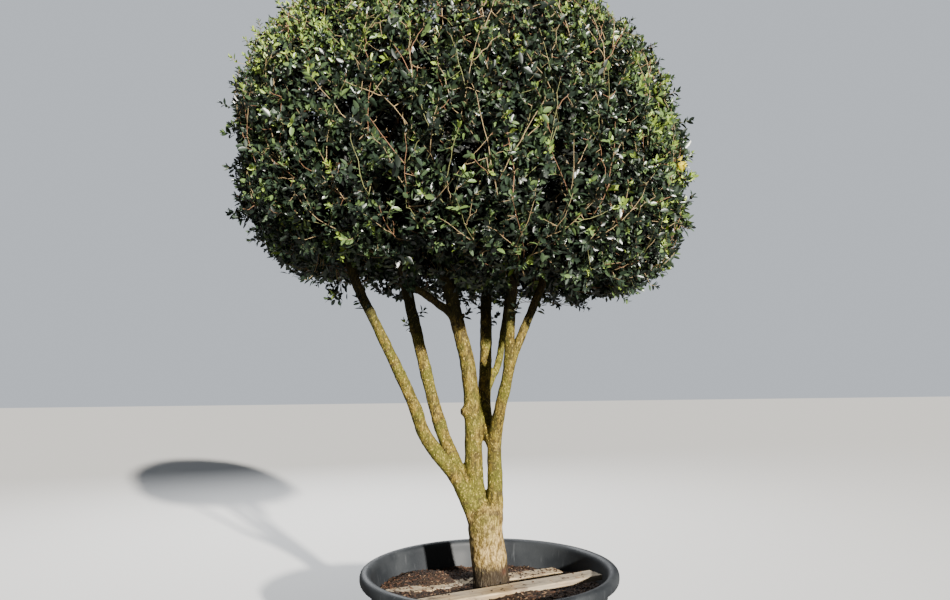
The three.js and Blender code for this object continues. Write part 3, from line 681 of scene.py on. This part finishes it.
# A fine net of cracks round narrow upright plates, opened wide near the soil.
place = put(tree, "ShaderNodeTexCoord").outputs["Object"]
wander = put(tree, "ShaderNodeTexNoise", Vector=place, Scale=40.0, Detail=3.0).outputs["Color"]
strayed = put(tree, "ShaderNodeVectorMath", {"operation": "MULTIPLY_ADD"},
              {0: wander, 1: (0.03, 0.03, 0.03), 2: place})
upright = multiplied(tree, strayed.outputs[0], (1.0, 1.0, 0.2))
plates = put(tree, "ShaderNodeTexVoronoi", {"feature": "DISTANCE_TO_EDGE"}, Vector=upright, Scale=96.0)
open_by = plus(tree, times(tree, greyed, 0.2), 0.16)
cracked = put(tree, "ShaderNodeMapRange", Value=plates.outputs["Distance"], From_Min=0.0, From_Max=open_by,
              To_Min=1.0, To_Max=0.0).outputs["Result"]
cracked = times(tree, cracked, plus(tree, times(tree, greyed, 0.3), 0.6))
# Dark scars that ring the limbs, broken up.
walked_by = put(tree, "ShaderNodeAttribute", {"attribute_name": "along"}).outputs["Fac"]
bands = put(tree, "ShaderNodeTexNoise", {"noise_dimensions": "1D"}, W=walked_by, Scale=30.0, Detail=2.0)
ringed = put(tree, "ShaderNodeMapRange", Value=bands.outputs["Fac"], From_Min=0.63, From_Max=0.70)
ringed = times(tree, ringed.outputs["Result"], cloudy(tree, 24.0, 3.0, 0.50, 0.58))
pruned = put(tree, "ShaderNodeAttribute", {"attribute_name": "pruned"}).outputs["Fac"]
# The dark grey laid on by greyed is the painted shadow at the foot.
base = coated(tree, tinted(tree, mottled, "453a14", "816d2a"),
              (low_trunk, 0.8, tinted(tree, mottled, "735831", "cfb07a")), (algae, 0.75, "5a5c1a"),
              (speckled, 0.48, "dcc56c"), (ringed, 0.6, "463a24"), (greyed, 0.92, "2d2924"),
              (cracked, 1, "271c0d"))
# Painted crown shade: the bark darkens towards near-black above the mask.
base = tinted(tree, below_painted_crown_shade, tinted(tree, 0.75, base, "1f1a12"), base)
feed(tree, shader, {
    "Base_Color": coated(tree, base, (pruned, 0.8, "4e2f20")),
    "Roughness": plus(tree, times(tree, algae, 0.1), 0.72),
    "Normal": relief(tree, maths(tree, "SUBTRACT", times(tree, speckled, 0.4), cracked), 0.7, 0.0035)})
bark_mesh.materials.clear()
bark_mesh.materials.append(bark)
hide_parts(*LIMBS)
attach(wood, "root")


# The twigs
# The wood inside the crown, tan where it is bare and green on new growth. From each bough's stem it branches
# towards evenly spread goals: each twig starts at the nearest joint of the wood that is there already, bends,
# and ends at its goal pointing outwards. The coarse levels are the solids' own, and finer ones carry on.

# How many goals a level has, how far in from the face and how unevenly they lie, the twigs' radius at the foot
# and at the tip, their spans and sides, and at how many joints later twigs can start.
Level = namedtuple("Level", "goals inset uneven thick thin spans sides joints")
GROWTH = [
    Level(46, 0.430, 0, 0.0110, 0.0070, 5, 6, 7),
    Level(92, 0.098, 0, 0.0065, 0.0032, 6, 5, 9),
    Level(330, 0.008, 0.022, 0.0019, 0.0008, 7, 4, 8),
    Level(2900, 0.260, 0.17, 0.0030, 0.0020, 4, 3, 5),
    Level(3000, 0.095, 0.04, 0.0022, 0.0015, 3, 3, 3),
    Level(12000, 0.034, 0.03, 0.0013, 0.0008, 2, 3, 0),
    Level(0, 0, 0, 0.0022, 0.0009, 9, 4, 0),
]
RUNNERS, SHOOTS, STRAY = 2, 5, 6  # the levels of the bare runners, the leafy end shoots and the stray shoots
RUNNER = Sizes(length=(0.14, 0.36), depth=0.045, fork_depth=0.004, fan=0.5, waver=0.0025, lowest=-0.6)
# The runners' side branches: from which share of the runner, turned by how much, and how long beside it.
FORKS = [(0.30, 0.50, 0.60), (0.62, -0.55, 0.45)]
# Long bare twigs that stand out of the clipped face: the foot and the tip of each, as degrees round the crown
# and up from its middle.
LONG_TWIGS = [
    ((250, -10), (239, 2)), ((262, -19), (252, -6)), ((251, -23), (250, -7)), ((250, -6), (253, 2)),
    ((232, -16), (212, -7)), ((235, -8), (225, -4)), ((280, -22), (273, -1)), ((279, -20), (274, -15)),
    ((280, -19), (288, -2)), ((268, -11), (262, -3)), ((270, -6), (266, 4)), ((302, -7), (298, -3)),
    ((262, -28), (260, -22)), ((300, -24), (301, -17)), ((318, -19), (330, -13)), ((70, -15), (82, 3)),
    ((110, -18), (104, 0)), ((150, -14), (160, 4)), ((20, -16), (12, 2)), ((40, -5), (47, 12)),
]
LONG_TWIG_DEPTH = (0.040, -0.005)  # how far inside the face the foot and the tip lie
LONG_TWIG_WAVER = 0.0045
# How strongly a twig turns outwards at its end, how far up towards the light and how much to all sides.
OUTWARD, UPWARD, WAYWARD = 0.45, 0.85, 0.35
UNEVEN_SPREAD = 0.8
END_SHOOT = 0.3  # how far the shoot at a runner's end goes on, as a share of the runner's last span
# Clumps and gaps among the end shoots.
THINNED = Sizes(fineness=4.2, finer=2.3, below=-0.12, fine=0.8, share=0.58, sunk=0.030, fine_sunk=0.6,
                most_out=-0.5)
# The crown is open from below, round the boughs, more so at the back.
UNDERSIDE = Sizes(start=0.58, end=0.76, further_back=0.17, hollow=0.24, mean=0.35, clumped=1.6, kept=0.22)
ESCAPED = Sizes(share=0.17, reach=0.068, least=0.3, less_in_front=0.5)
TOP_SPACE = Sizes(throat=0.165, throat_height=2.480, cap_radius=0.620, cap_height=3.040)
# Hollows in the clipped face, where the shears or a lost shoot have left it open: place and radius.
HOLLOWS = [((-0.122, -0.978, 2.233), 0.105), ((-0.332, -0.878, 2.102), 0.115), ((-0.566, -0.870, 2.288), 0.080),
           ((-0.337, -0.970, 2.408), 0.085), ((0.256, -0.894, 2.150), 0.100), ((0.261, -0.926, 2.325), 0.065),
           ((-0.043, -0.974, 2.330), 0.070), ((-0.509, -0.614, 2.000), 0.085), ((0.117, -0.760, 1.970), 0.085),
           ((-0.740, 0.560, 2.400), 0.100), ((0.200, 0.900, 2.350), 0.100), ((0.700, 0.400, 2.200), 0.090),
           ((-0.300, 0.950, 2.150), 0.110)]
LEFT_IN_HOLLOWS = (0.08, 0.5)  # the share of the goals kept at a hollow's middle, and how many more at its edge
# A gap that lets the sky through, just under the top, along a line from front to back.
SKY_GAP = Sizes(start=(-0.193, -0.780, 2.865), end=(-0.253, 0.350, 3.448), reach=0.052)
# Long shoots that have escaped the shears, as the places where their leaves end.
STRAYS = {"right": [(1.000, -0.060, 2.450)],
          "left_front": [(-1.196, -0.090, 2.290), (-0.700, -0.300, 1.860), (-0.780, -0.420, 1.930)],
          "top": [(-0.420, -0.090, 3.352)], "left_back": [(-0.820, 0.600, 3.010)],
          "front": [(-0.330, -0.420, 1.890)], "right_front": [(0.420, -0.500, 1.870)]}
STRAY_TIP = 0.030
STRAY_SIDES = Sizes(count=3, apart=0.02, below=(0.03, 0.09))
# Sprouts straight from the boughs below the crown: the share of the bough's length, heading and reach.
SPROUTS = {"left_back": [(0.92, 10, 0.040), (0.86, 200, 0.030)], "right": [(0.92, 10, 0.040)],
           "top": [(0.90, 340, 0.035), (0.96, 160, 0.040)], "left_front": [(0.97, 240, 0.035)],
           "back": [(0.84, 350, 0.035), (0.93, 200, 0.040)], "right_front": [(0.95, 300, 0.035)]}
SPROUT = Sizes(seat=0.8, bend=0.6, rise=0.5, spans=7)
LIMB_CLEARANCE, LIMBS_END = 0.006, 2.0
DEEPEST = 0.56  # the innermost goal's way in from the face
MOST_JOINTS = 20000
GOAL_SEED, TWIG_SEED, TINT_SEED, LEAF_SEED = 40, 7, 90, 300


def crown_points(directions, inset):
    """Where the crown's clipped surface, drawn in by inset, lies in some directions from its centre."""
    level, steep = np.hypot(directions[:, 0], directions[:, 1]), np.abs(directions[:, 2])
    rising = directions[:, 2] > 0
    power = np.where(rising, CROWN.square_up, CROWN.square_down)
    height = np.where(rising, CROWN.up, CROWN.down) - inset
    reach = ((level / (CROWN.radius - inset)) ** power + (steep / height) ** power) ** (-1 / power)
    reach *= 1 + CROWN.skew * directions[:, 0] * directions[:, 2]
    x, y, z = (directions * reach[:, None]).T
    c, s = cos(CROWN.tilt), sin(CROWN.tilt)
    return np.stack([x * c + z * s, y, z * c - x * s], 1) + CROWN_CENTRE


def inside(mass, point):
    """Whether a point lies in a mass's own space."""
    x, y = point[:2] - CROWN_CENTRE[:2]
    share = (point[2] - TOP_SPACE.throat_height) / (TOP_SPACE.cap_height - TOP_SPACE.throat_height)
    wide = TOP_SPACE.throat + (TOP_SPACE.cap_radius - TOP_SPACE.throat) * min(max(share, 0), 1)
    from_top = np.hypot(x, y) - wide
    if mass == "top":
        return -from_top > 0
    start, end = (radians(angle) for angle in MASSES[mass][1])
    return min(from_top, y * cos(start) - x * sin(start), x * sin(end) - y * cos(end)) > 0


def spread_directions(count):
    """Directions spread evenly over a ball, each turned from the last by the golden angle."""
    i = np.arange(count)
    rise = 1 - 2 * (i + 0.5) / count
    level = np.sqrt(1 - rise ** 2)
    turn_by = pi * (3 - sqrt(5)) * i
    return np.stack([level * np.cos(turn_by), level * np.sin(turn_by), rise], 1)


def pointing(azimuth, rise=0):
    """The direction with this azimuth and this angle above the horizontal, in degrees."""
    azimuth, rise = radians(azimuth), radians(rise)
    return np.array([cos(rise) * cos(azimuth), cos(rise) * sin(azimuth), sin(rise)])


def along_face(start, way, depth, insets, spans):
    """Paths just inside the clipped face, from a depth below their goal's own."""
    return np.stack([crown_points(unit(start + way * share), insets + depth * (1 - share) ** 2)
                     for share in np.linspace(0, 1, spans)], 1)


def runner_paths(directions, insets, spans, chance):
    """Bare runners that fan out along the face and end in these directions, then their side branches."""
    lateral = unit(np.cross((0.0, 0.0, 1.0), directions))
    fan = chance.normal(0, RUNNER.fan, (len(directions), 1))
    way = np.cross(directions, lateral) * np.cos(fan) + lateral * np.sin(fan)
    way *= chance.uniform(*RUNNER.length, (len(directions), 1))
    paths = [along_face(directions - way, way, RUNNER.depth, insets, spans)]
    for foot, turned_by, long in FORKS:
        branch = long * (way * cos(turned_by) + np.cross(directions, way) * sin(turned_by))
        depth = RUNNER.depth * (1 - foot) ** 2 + RUNNER.fork_depth
        paths.append(along_face(directions - way * (1 - foot), branch, depth, insets, spans))
    paths = np.concatenate(paths)
    return paths + chance.normal(0, RUNNER.waver, paths.shape)


def level_goals(number, level):
    """The goals of one level, left out of the hollows and the gap, and the paths of the runners to theirs."""
    chance = np.random.default_rng(GOAL_SEED + number)
    count = level.goals
    directions = spread_directions(count)
    if level.uneven:
        directions = unit(directions + chance.normal(0, UNEVEN_SPREAD / sqrt(count), directions.shape))
    insets = level.inset + level.uneven * chance.uniform(-1, 1, count)
    kept = np.ones(count, bool)
    if number > RUNNERS:
        low = UNDERSIDE.further_back * np.clip(directions[:, 1], 0, 1) - directions[:, 2]
        under = eased(low, UNDERSIDE.start, UNDERSIDE.end)
        clumps = noise_at(directions, THINNED.fineness)
        kept &= chance.uniform(0, 1, count) > under * (1 - UNDERSIDE.kept)
        insets += under * UNDERSIDE.hollow * np.clip(UNDERSIDE.mean + UNDERSIDE.clumped * clumps, 0, 1)
    if number == SHOOTS:
        fine = noise_at(directions, THINNED.fineness, THINNED.finer, (5, 1, 2))
        insets += THINNED.sunk * np.clip(clumps + THINNED.fine_sunk * fine, THINNED.most_out, 1)
        sparse = clumps + THINNED.fine * fine < THINNED.below
        kept &= ~sparse | (chance.uniform(0, 1, count) < THINNED.share)
        out = ESCAPED.reach * (1 - ESCAPED.less_in_front * directions[:, 1] ** 2)
        out = out * chance.uniform(ESCAPED.least, 1, count)
        insets -= out * (chance.uniform(0, 1, count) < ESCAPED.share)
    goals = crown_points(directions, np.minimum(insets, DEEPEST))
    paths = goals[:, None]
    if number == RUNNERS:
        paths = runner_paths(directions, insets, level.spans, chance)
        goals = paths[:, -1]
        kept = np.tile(directions[:, 2] > RUNNER.lowest, 1 + len(FORKS))
    if number > RUNNERS:
        middle, edge = LEFT_IN_HOLLOWS
        for place, reach in HOLLOWS:
            gap = norm(goals - place, axis=1) / reach
            kept &= (gap > 1) | (chance.uniform(0, 1, count) < middle + edge * gap ** 4)
    gap_line = np.subtract(SKY_GAP.end, SKY_GAP.start)
    share = np.clip((goals - SKY_GAP.start) @ gap_line / (gap_line @ gap_line), 0, 1)
    aside = norm(goals - SKY_GAP.start - share[:, None] * gap_line, axis=1)
    kept &= (aside > SKY_GAP.reach) | (number < RUNNERS)
    return goals[kept], paths[kept]


samples = np.linspace(0, 1, LIMB_SAMPLES)
limb_walk = np.vstack([line.at(samples) for line in limb_lines.values()])
limb_width = np.concatenate([limb_radius(limb, samples) for limb in LIMBS.values()])
goals_by_level = [level_goals(number, level) for number, level in enumerate(GROWTH[:STRAY])]


def grow(mass, seed):
    """The twigs of one mass, as (level, points), from its stem outwards."""
    chance = np.random.default_rng(seed)
    joints = np.zeros((MOST_JOINTS, 3))
    stem = stem_points(mass, STEM.joints)[STEM.bare:]
    joints[:len(stem)] = stem
    count = len(stem)
    twigs = []

    def add(number, goal, path=None):
        nonlocal count
        level = GROWTH[number]
        near = goal if path is None else path[0]
        start = joints[np.argmin(((joints[:count] - near) ** 2).sum(1))]
        if path is None:
            outward = unit(goal - CROWN_CENTRE)
            if number > RUNNERS:
                outward = unit(outward + (0, 0, UPWARD) + chance.normal(0, WAYWARD, 3))
            control = goal - outward * OUTWARD * norm(goal - start)
            points = bent(start, control, goal, level.spans)
            fresh = bent(start, control, goal, level.joints)[1:-1] if level.joints else points[:0]
        else:
            points, fresh = np.vstack([start, path]), path
        if goal[2] < LIMBS_END:
            gaps = norm(points[1:, None] - limb_walk[None], axis=2) - limb_width
            if gaps.min() <= LIMB_CLEARANCE:
                return
        twigs.append((number, points))
        joints[count:count + len(fresh)] = fresh
        count += len(fresh)

    for number, (goals, paths) in enumerate(goals_by_level):
        for goal, path in zip(goals, paths):
            if inside(mass, goal):
                add(number, goal, path if number == RUNNERS else None)
                if number == RUNNERS:
                    add(SHOOTS, goal + (path[-1] - path[-2]) * END_SHOOT)
    sunk, out = LONG_TWIG_DEPTH
    for ends in LONG_TWIGS:
        foot, tip = (pointing(*end) for end in ends)
        path = along_face(foot[None], tip - foot, sunk - out, np.array([out]), GROWTH[STRAY].spans - 1)[0]
        if inside(mass, path[-1]):
            add(STRAY, path[-1], path + chance.normal(0, LONG_TWIG_WAVER, path.shape))
    carrier = MASSES[mass][0]
    for share, heading, reach in SPROUTS.get(mass, []):
        out = pointing(heading)
        foot = limb_lines[carrier].at(np.array([share]))[0]
        foot += out * limb_radius(LIMBS[carrier], share) * SPROUT.seat
        tip = foot + out * reach + (0, 0, SPROUT.rise * reach)
        twigs.append((STRAY, bent(foot, foot + out * reach * SPROUT.bend, tip, SPROUT.spans)))
    for end in STRAYS.get(mass, []):
        outward = unit(np.array(end) - CROWN_CENTRE)
        add(STRAY, end - outward * STRAY_TIP)
        for side in chance.normal(0, STRAY_SIDES.apart, (STRAY_SIDES.count, 3)):
            add(STRAY, end - outward * (STRAY_TIP + chance.uniform(*STRAY_SIDES.below)) + side)
    return twigs


grown = {mass: grow(mass, TWIG_SEED + number) for number, mass in enumerate(MASSES)}

# Twigs as tubes: each path of edges becomes a curve, a ring of a few sides follows it, and both ends close.
twig_tubes, given, result = new_group(
    "twig_tubes", "GeometryNodeTree", {"Paths": "Geometry", "Sides": 3, "Finish": "Material"},
    "Twigs", "Geometry")
width = put(twig_tubes, "GeometryNodeInputNamedAttribute", {"data_type": "FLOAT"}, Name="width").outputs[0]
curves = put(twig_tubes, "GeometryNodeMeshToCurve", Mesh=given["Paths"])
ring = put(twig_tubes, "GeometryNodeCurvePrimitiveCircle", Resolution=given["Sides"], Radius=1.0)
walls = put(twig_tubes, "GeometryNodeCurveToMesh", Curve=curves.outputs["Curve"],
            Profile_Curve=ring.outputs["Curve"], Scale=width, Fill_Caps=True)
rounded = put(twig_tubes, "GeometryNodeSetShadeSmooth", Geometry=walls.outputs["Mesh"])
loose = put(twig_tubes, "GeometryNodeRealizeInstances", Geometry=rounded.outputs[0])
painted = put(twig_tubes, "GeometryNodeSetMaterial", Geometry=loose.outputs[0], Material=given["Finish"])
feed(twig_tubes, result, {"Twigs": painted.outputs["Geometry"]})

# The old inner twigs' dark brown is partly older bark and partly painted shade inside the crown.
TWIG_COLOURS = {"old": "3a3228", "bare": "94815f", "pink": "805f46", "green": "72734a"}
NEWER, NEWER_SHARES = ("bare", "pink", "green"), (0.55, 0.25, 0.2)
twig_finishes = plain_finishes("twig_", TWIG_COLOURS, Roughness=0.7, Specular_IOR_Level=0.3)


def twig_mesh(paths, sides, finish):
    """Tubes along paths of points, each with its width at every point."""
    points, widths = (np.concatenate(parts) for parts in zip(*paths))
    ends = np.cumsum([len(path) for path, _ in paths])
    first = np.setdiff1d(np.arange(len(points) - 1), ends - 1)
    mesh = bpy.data.meshes.new("paths")
    mesh.from_pydata(points.tolist(), np.stack([first, first + 1], 1).tolist(), [])
    mesh.attributes.new("width", "FLOAT", "POINT").data.foreach_set("value", widths.astype(np.float32))
    return made_by(twig_tubes, mesh, {"Sides": sides, "Finish": finish})


def joined(name, meshes):
    """One piece from several meshes, each of which keeps its own finish."""
    whole = bmesh.new()
    out = bpy.data.meshes.new(name)
    for number, mesh in enumerate(meshes):
        start = len(whole.faces)
        whole.from_mesh(mesh)
        whole.faces.ensure_lookup_table()
        for face in whole.faces[start:]:
            face.material_index = number
        out.materials.append(mesh.materials[0])
    whole.to_mesh(out)
    whole.free()
    return placed(bpy.data.objects.new(name, out))


for number, (mass, twigs) in enumerate(grown.items()):
    chance = np.random.default_rng(TINT_SEED + number)
    bundles = {}
    for level_number, points in twigs:
        level = GROWTH[level_number]
        tint = "old" if level_number < RUNNERS else chance.choice(NEWER, p=NEWER_SHARES)
        widths = np.linspace(level.thick, level.thin, len(points))
        bundles.setdefault((level.sides, tint), []).append((points, widths))
    meshes = [twig_mesh(paths, sides, twig_finishes[tint]) for (sides, tint), paths in bundles.items()]
    piece = joined("twigs_" + mass, meshes)
    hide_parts("foliage_" + mass)
    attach(piece, "root")


# The leaves
# Small, opposite, leathery leaves, folded a little along the midrib and curling down at the tip. They stand in
# pairs along the end shoots, each pair turned square to the last, with larger old ones further in, whose
# near-black green is partly their own and partly painted shade. Greens grow darker low on the crown, which is
# painted shade. New shoots are yellow-green, mostly on the crown's upper left and right edge. Each pair has one
# plain colour.

LEAF = Sizes(length=0.0335, width=0.45, scatter=0.2, widths=(0.88, 1.12), fold=0.34, folds=(0.4, 1.5),
             curl=0.16, curls=(-0.3, 1.6))
# How unevenly leaves turn: round their shoot, away from it in degrees, and about themselves.
UNEVEN = Sizes(round=0.25, away=11, roll=0.35)
SMALLER_HIGH_UP = Sizes(by=0.32, start=2.45, end=3.0)
LEAF_EDGE = [(0.0, 0.0), (0.22, 0.36), (0.52, 0.50), (0.80, 0.33), (1.0, 0.0)]  # distance out, and half width
INNER_EDGE = [(0.0, 0.0), (0.45, 0.50), (1.0, 0.0)]
# How far below the tip each pair stands, how far it opens in degrees, and its size.
LEAF_PAIRS = [(0.002, 22, 0.66), (0.010, 40, 0.85), (0.021, 54, 1.0), (0.034, 62, 1.05), (0.049, 68, 1.1),
              (0.066, 72, 1.1)]
FEWER_PAIRS = (4, 7)
INNER_PAIRS = [(0.004, 35, 1.6), (0.026, 60, 1.85), (0.055, 70, 1.85)]
LEAF_GREENS = {"deep": "1b251c", "dark": "283628", "green": "3a4b31", "bright": "5c7340", "fresh": "849c42",
               "young": "a4ba52", "yellow": "e2d23c"}
# The old inner leaves' near-black green: partly their own darker colour, partly painted shade inside the crown.
OLD_GREEN_AND_PAINTED_SHADE = {"old": "0c110b"}
LADDER = list(LEAF_GREENS)[:-1]
# Places where the new growth gathers: place, reach, and which colour.
FRESH_PLACES = [((-0.667, -0.786, 2.828), 0.30, "fresh"), ((-0.538, -0.700, 3.020), 0.40, "fresh"),
                ((0.700, -0.560, 2.560), 0.28, "fresh"), ((0.860, -0.330, 2.400), 0.16, "young"),
                ((0.800, -0.450, 2.100), 0.16, "young"), ((1.000, -0.060, 2.450), 0.14, "young"),
                ((-0.450, 0.500, 3.050), 0.40, "fresh"), ((0.300, 0.700, 2.900), 0.30, "fresh"),
                ((-1.196, -0.090, 2.290), 0.10, "young")]
YELLOW_PLACE = ((0.790, -0.470, 2.420), 0.055)
FRESH_SHARE, OWN_TINT_SHARE = 0.75, 0.6
# The middle pair of heights is where greens start and finish growing darker downwards: painted shade under the
# crown.
HIGH_UP, PAINTED_SHADE_LOW_DOWN, TO_THE_LEFT = (2.50, 3.15), (2.45, 2.0), (-0.3, 0.7)  # from where, and where in full
DARKER, SAME, LIGHTER = 0.25, 0.55, 0.2  # shares of the pairs, beside their shoot's own green

leaf_finishes = {**plain_finishes("leaf_", LEAF_GREENS, Roughness=0.36, Specular_IOR_Level=0.8),
                 **plain_finishes("leaf_", OLD_GREEN_AND_PAINTED_SHADE, Roughness=0.55, Specular_IOR_Level=0.3)}


def blade_shape(edge):
    """A leaf one long and one wide at most: its outline and a middle point, and the faces between them."""
    outline = np.vstack([edge, np.array(edge[-2:0:-1]) * (1, -1)])
    corner = np.arange(len(outline))
    faces = np.stack([corner, corner * 0 + len(outline), (corner + 1) % len(outline)], 1)
    return np.vstack([outline, [(0.5, 0.0)]]), faces


def leaf_pairs(tip, axis, turn_by, pairs, chance, grown_to):
    """Place, heading, upper side and length of the leaves of one shoot."""
    side = np.cross((0.0, 0.0, 1.0), axis)
    side /= max(norm(side), 1e-6)
    other = np.cross(axis, side)
    leaves = []
    for number, (below, spread, size) in enumerate(pairs):
        angle = turn_by + number * pi / 2 + chance.normal(0, UNEVEN.round)
        out = side * cos(angle) + other * sin(angle)
        for way in (1, -1):
            open_by = radians(spread + chance.normal(0, UNEVEN.away))
            heading = axis * cos(open_by) + out * way * sin(open_by)
            upper = axis * sin(open_by) - out * way * cos(open_by)
            upper = upper + np.cross(heading, upper) * chance.normal(0, UNEVEN.roll)
            length = LEAF.length * grown_to * size * (1 + LEAF.scatter * chance.uniform(-1, 1))
            leaves.append((tip - axis * below, heading, upper, length))
    return leaves


def shade_of(place, chance):
    """Which green a shoot has, by where it stands."""
    if norm(place - YELLOW_PLACE[0]) < YELLOW_PLACE[1]:
        return "yellow"
    for middle, reach, tint in FRESH_PLACES:
        gap = norm(place - middle) / reach
        if gap < 1 and chance.uniform() < FRESH_SHARE * (1 - gap):
            return tint if chance.uniform() < OWN_TINT_SHARE else "fresh"
    high, low, left = eased(place[2], *HIGH_UP), eased(place[2], *PAINTED_SHADE_LOW_DOWN), eased(-place[0], *TO_THE_LEFT)
    # Lower down the odds favour deep and dark greens: painted shade under the crown.
    odds = np.array([0.24 - 0.2 * high + 0.06 * low, 0.34 - 0.26 * high + 0.04 * low, 0.25, 0.12 + 0.26 * high,
                     0.035 + 0.36 * high * (0.6 + left), 0.008 + 0.14 * high * (0.4 + left)])
    return LADDER[chance.choice(len(LADDER), p=odds / odds.sum())]


def pair_shade(tint, pair, chance):
    """The green of one of a shoot's pairs: up to a step from the shoot's own, and darker further down."""
    if tint not in LADDER:
        return tint
    rung = LADDER.index(tint)
    step = chance.choice((-1, 0, 1), p=(DARKER, SAME, LIGHTER)) - int(pair / 2 * (rung > LADDER.index("green")))
    return LADDER[min(max(rung + step, 0), len(LADDER) - 1)]


for number, (mass, twigs) in enumerate(grown.items()):
    chance = np.random.default_rng(LEAF_SEED + number)
    sprays = {}
    for level_number, points in twigs:
        if level_number <= RUNNERS:
            continue
        tip, axis = points[-1], unit(points[-1] - points[-2])
        if level_number < SHOOTS:
            pairs, tint = INNER_PAIRS, "old"
        else:
            pairs = LEAF_PAIRS[:len(LEAF_PAIRS) if level_number == STRAY else chance.integers(*FEWER_PAIRS)]
            tint = shade_of(tip, chance)
        grown_to = 1 - SMALLER_HIGH_UP.by * eased(tip[2], SMALLER_HIGH_UP.start, SMALLER_HIGH_UP.end)
        leaves = leaf_pairs(tip, axis, chance.uniform(0, pi), pairs, chance, grown_to)
        for pair in range(len(pairs)):
            sprays.setdefault(pair_shade(tint, pair, chance), []).extend(leaves[2 * pair:2 * pair + 2])
    points_of_leaves, faces_of_leaves, finish_index = [], [], []
    tints = sorted(sprays)
    count = 0
    for tint in tints:
        foot, heading, upper, length = (np.array(column) for column in zip(*sprays[tint]))
        across = unit(np.cross(upper, heading))
        upper = np.cross(heading, across)
        fold = LEAF.fold * chance.uniform(*LEAF.folds, len(foot))
        curl = LEAF.curl * chance.uniform(*LEAF.curls, len(foot))
        wide = length * LEAF.width * chance.uniform(*LEAF.widths, len(foot))
        shape, sides = blade_shape(INNER_EDGE if tint == "old" else LEAF_EDGE)
        x, y = shape.T[:, None]
        rise = np.abs(y) * (wide * fold)[:, None] - x ** 2 * (length * curl)[:, None]
        blade = (foot[:, None] + heading[:, None] * (x * length[:, None])[..., None]
                 + across[:, None] * (y * wide[:, None])[..., None] + upper[:, None] * rise[..., None])
        points_of_leaves.append(blade.reshape(-1, 3))
        starts = count + len(shape) * np.arange(len(foot))
        count += len(shape) * len(foot)
        faces_of_leaves.append((sides[None] + starts[:, None, None]).reshape(-1, 3))
        finish_index += [tints.index(tint)] * (len(foot) * len(sides))
    piece = mesh_of("leaves_" + mass, np.vstack(points_of_leaves), np.vstack(faces_of_leaves))
    for tint in tints:
        piece.data.materials.append(leaf_finishes[tint])
    piece.data.polygons.foreach_set("material_index", np.array(finish_index, np.int32))
    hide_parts("foliage_" + mass)
    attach(piece, "root")


# The studio
# A plain pale floor under an even pale sky, with a sun to the right behind the camera, a weak lamp on the left
# and one behind the tree. The camera stands at eye height and looks level.

FLOOR_REACH = 40
FLOOR_TONES = (0.12, 0.12, 0.12, 1), (0.78, 0.78, 0.77, 1)  # for all other light, and for the camera
SKY = Sizes(tone=(0.86, 0.92, 1.0, 1), light=0.16, more_for_camera=0.54)
FOCAL, PICTURE_WIDTH, HORIZON_BELOW = 714, 950, 77  # in pixels
EYE, ROLL = (-0.0545, -3.350, 1.538), -0.7

corners = [(a * FLOOR_REACH, b * FLOOR_REACH, 0) for a, b in ((-1, -1), (1, -1), (1, 1), (-1, 1))]
floor = mesh_of("floor", corners, [(0, 1, 2, 3)], smooth=False)
pale_floor, tree, shader = finish_of("pale_floor", Roughness=0.8)
seen = put(tree, "ShaderNodeLightPath").outputs["Is Camera Ray"]
feed(tree, shader, {"Base_Color": tinted(tree, seen, *FLOOR_TONES)})
floor.data.materials.append(pale_floor)

world = bpy.data.worlds.new("pale_sky")
bpy.context.scene.world = world
world.use_nodes = True
tree = world.node_tree
seen = put(tree, "ShaderNodeLightPath").outputs["Is Camera Ray"]
strength = plus(tree, times(tree, seen, SKY.more_for_camera), SKY.light)
feed(tree, tree.nodes["Background"], {"Color": SKY.tone, "Strength": strength})


def lamp(name, kind, place, aim, tone, **settings):
    light = bpy.data.lights.new(name, kind)
    light.color = tone
    for label, value in settings.items():
        setattr(light, label, value)
    holder = placed(bpy.data.objects.new(name, light))
    holder.location = place
    holder.rotation_euler = (Vector(aim) - Vector(place)).to_track_quat("-Z", "Y").to_euler()


lamp("key", "SUN", (6.2, -11.8, 5.7), (-0.1, 0, 1.9), (1.0, 0.95, 0.87), energy=14.5, angle=0.03)
lamp("fill", "AREA", (-6.0, -5.0, 3.0), (-0.1, 0, 1.9), (0.82, 0.91, 1.0), energy=26, size=4.0)
lamp("rim", "AREA", (-2.0, 6.0, 6.0), (-0.1, 0, 2.2), (0.95, 0.97, 1.0), energy=700, size=4.0)

lens = bpy.data.cameras.new("camera")
lens.sensor_width, lens.lens = 36.0, 36.0 * FOCAL / PICTURE_WIDTH
lens.shift_y = HORIZON_BELOW / PICTURE_WIDTH
camera = placed(bpy.data.objects.new("camera", lens))
camera.matrix_world = (Matrix.Translation(EYE) @ Matrix.Rotation(radians(90), 4, "X")
                       @ Matrix.Rotation(radians(ROLL), 4, "Z"))
bpy.context.scene.camera = camera
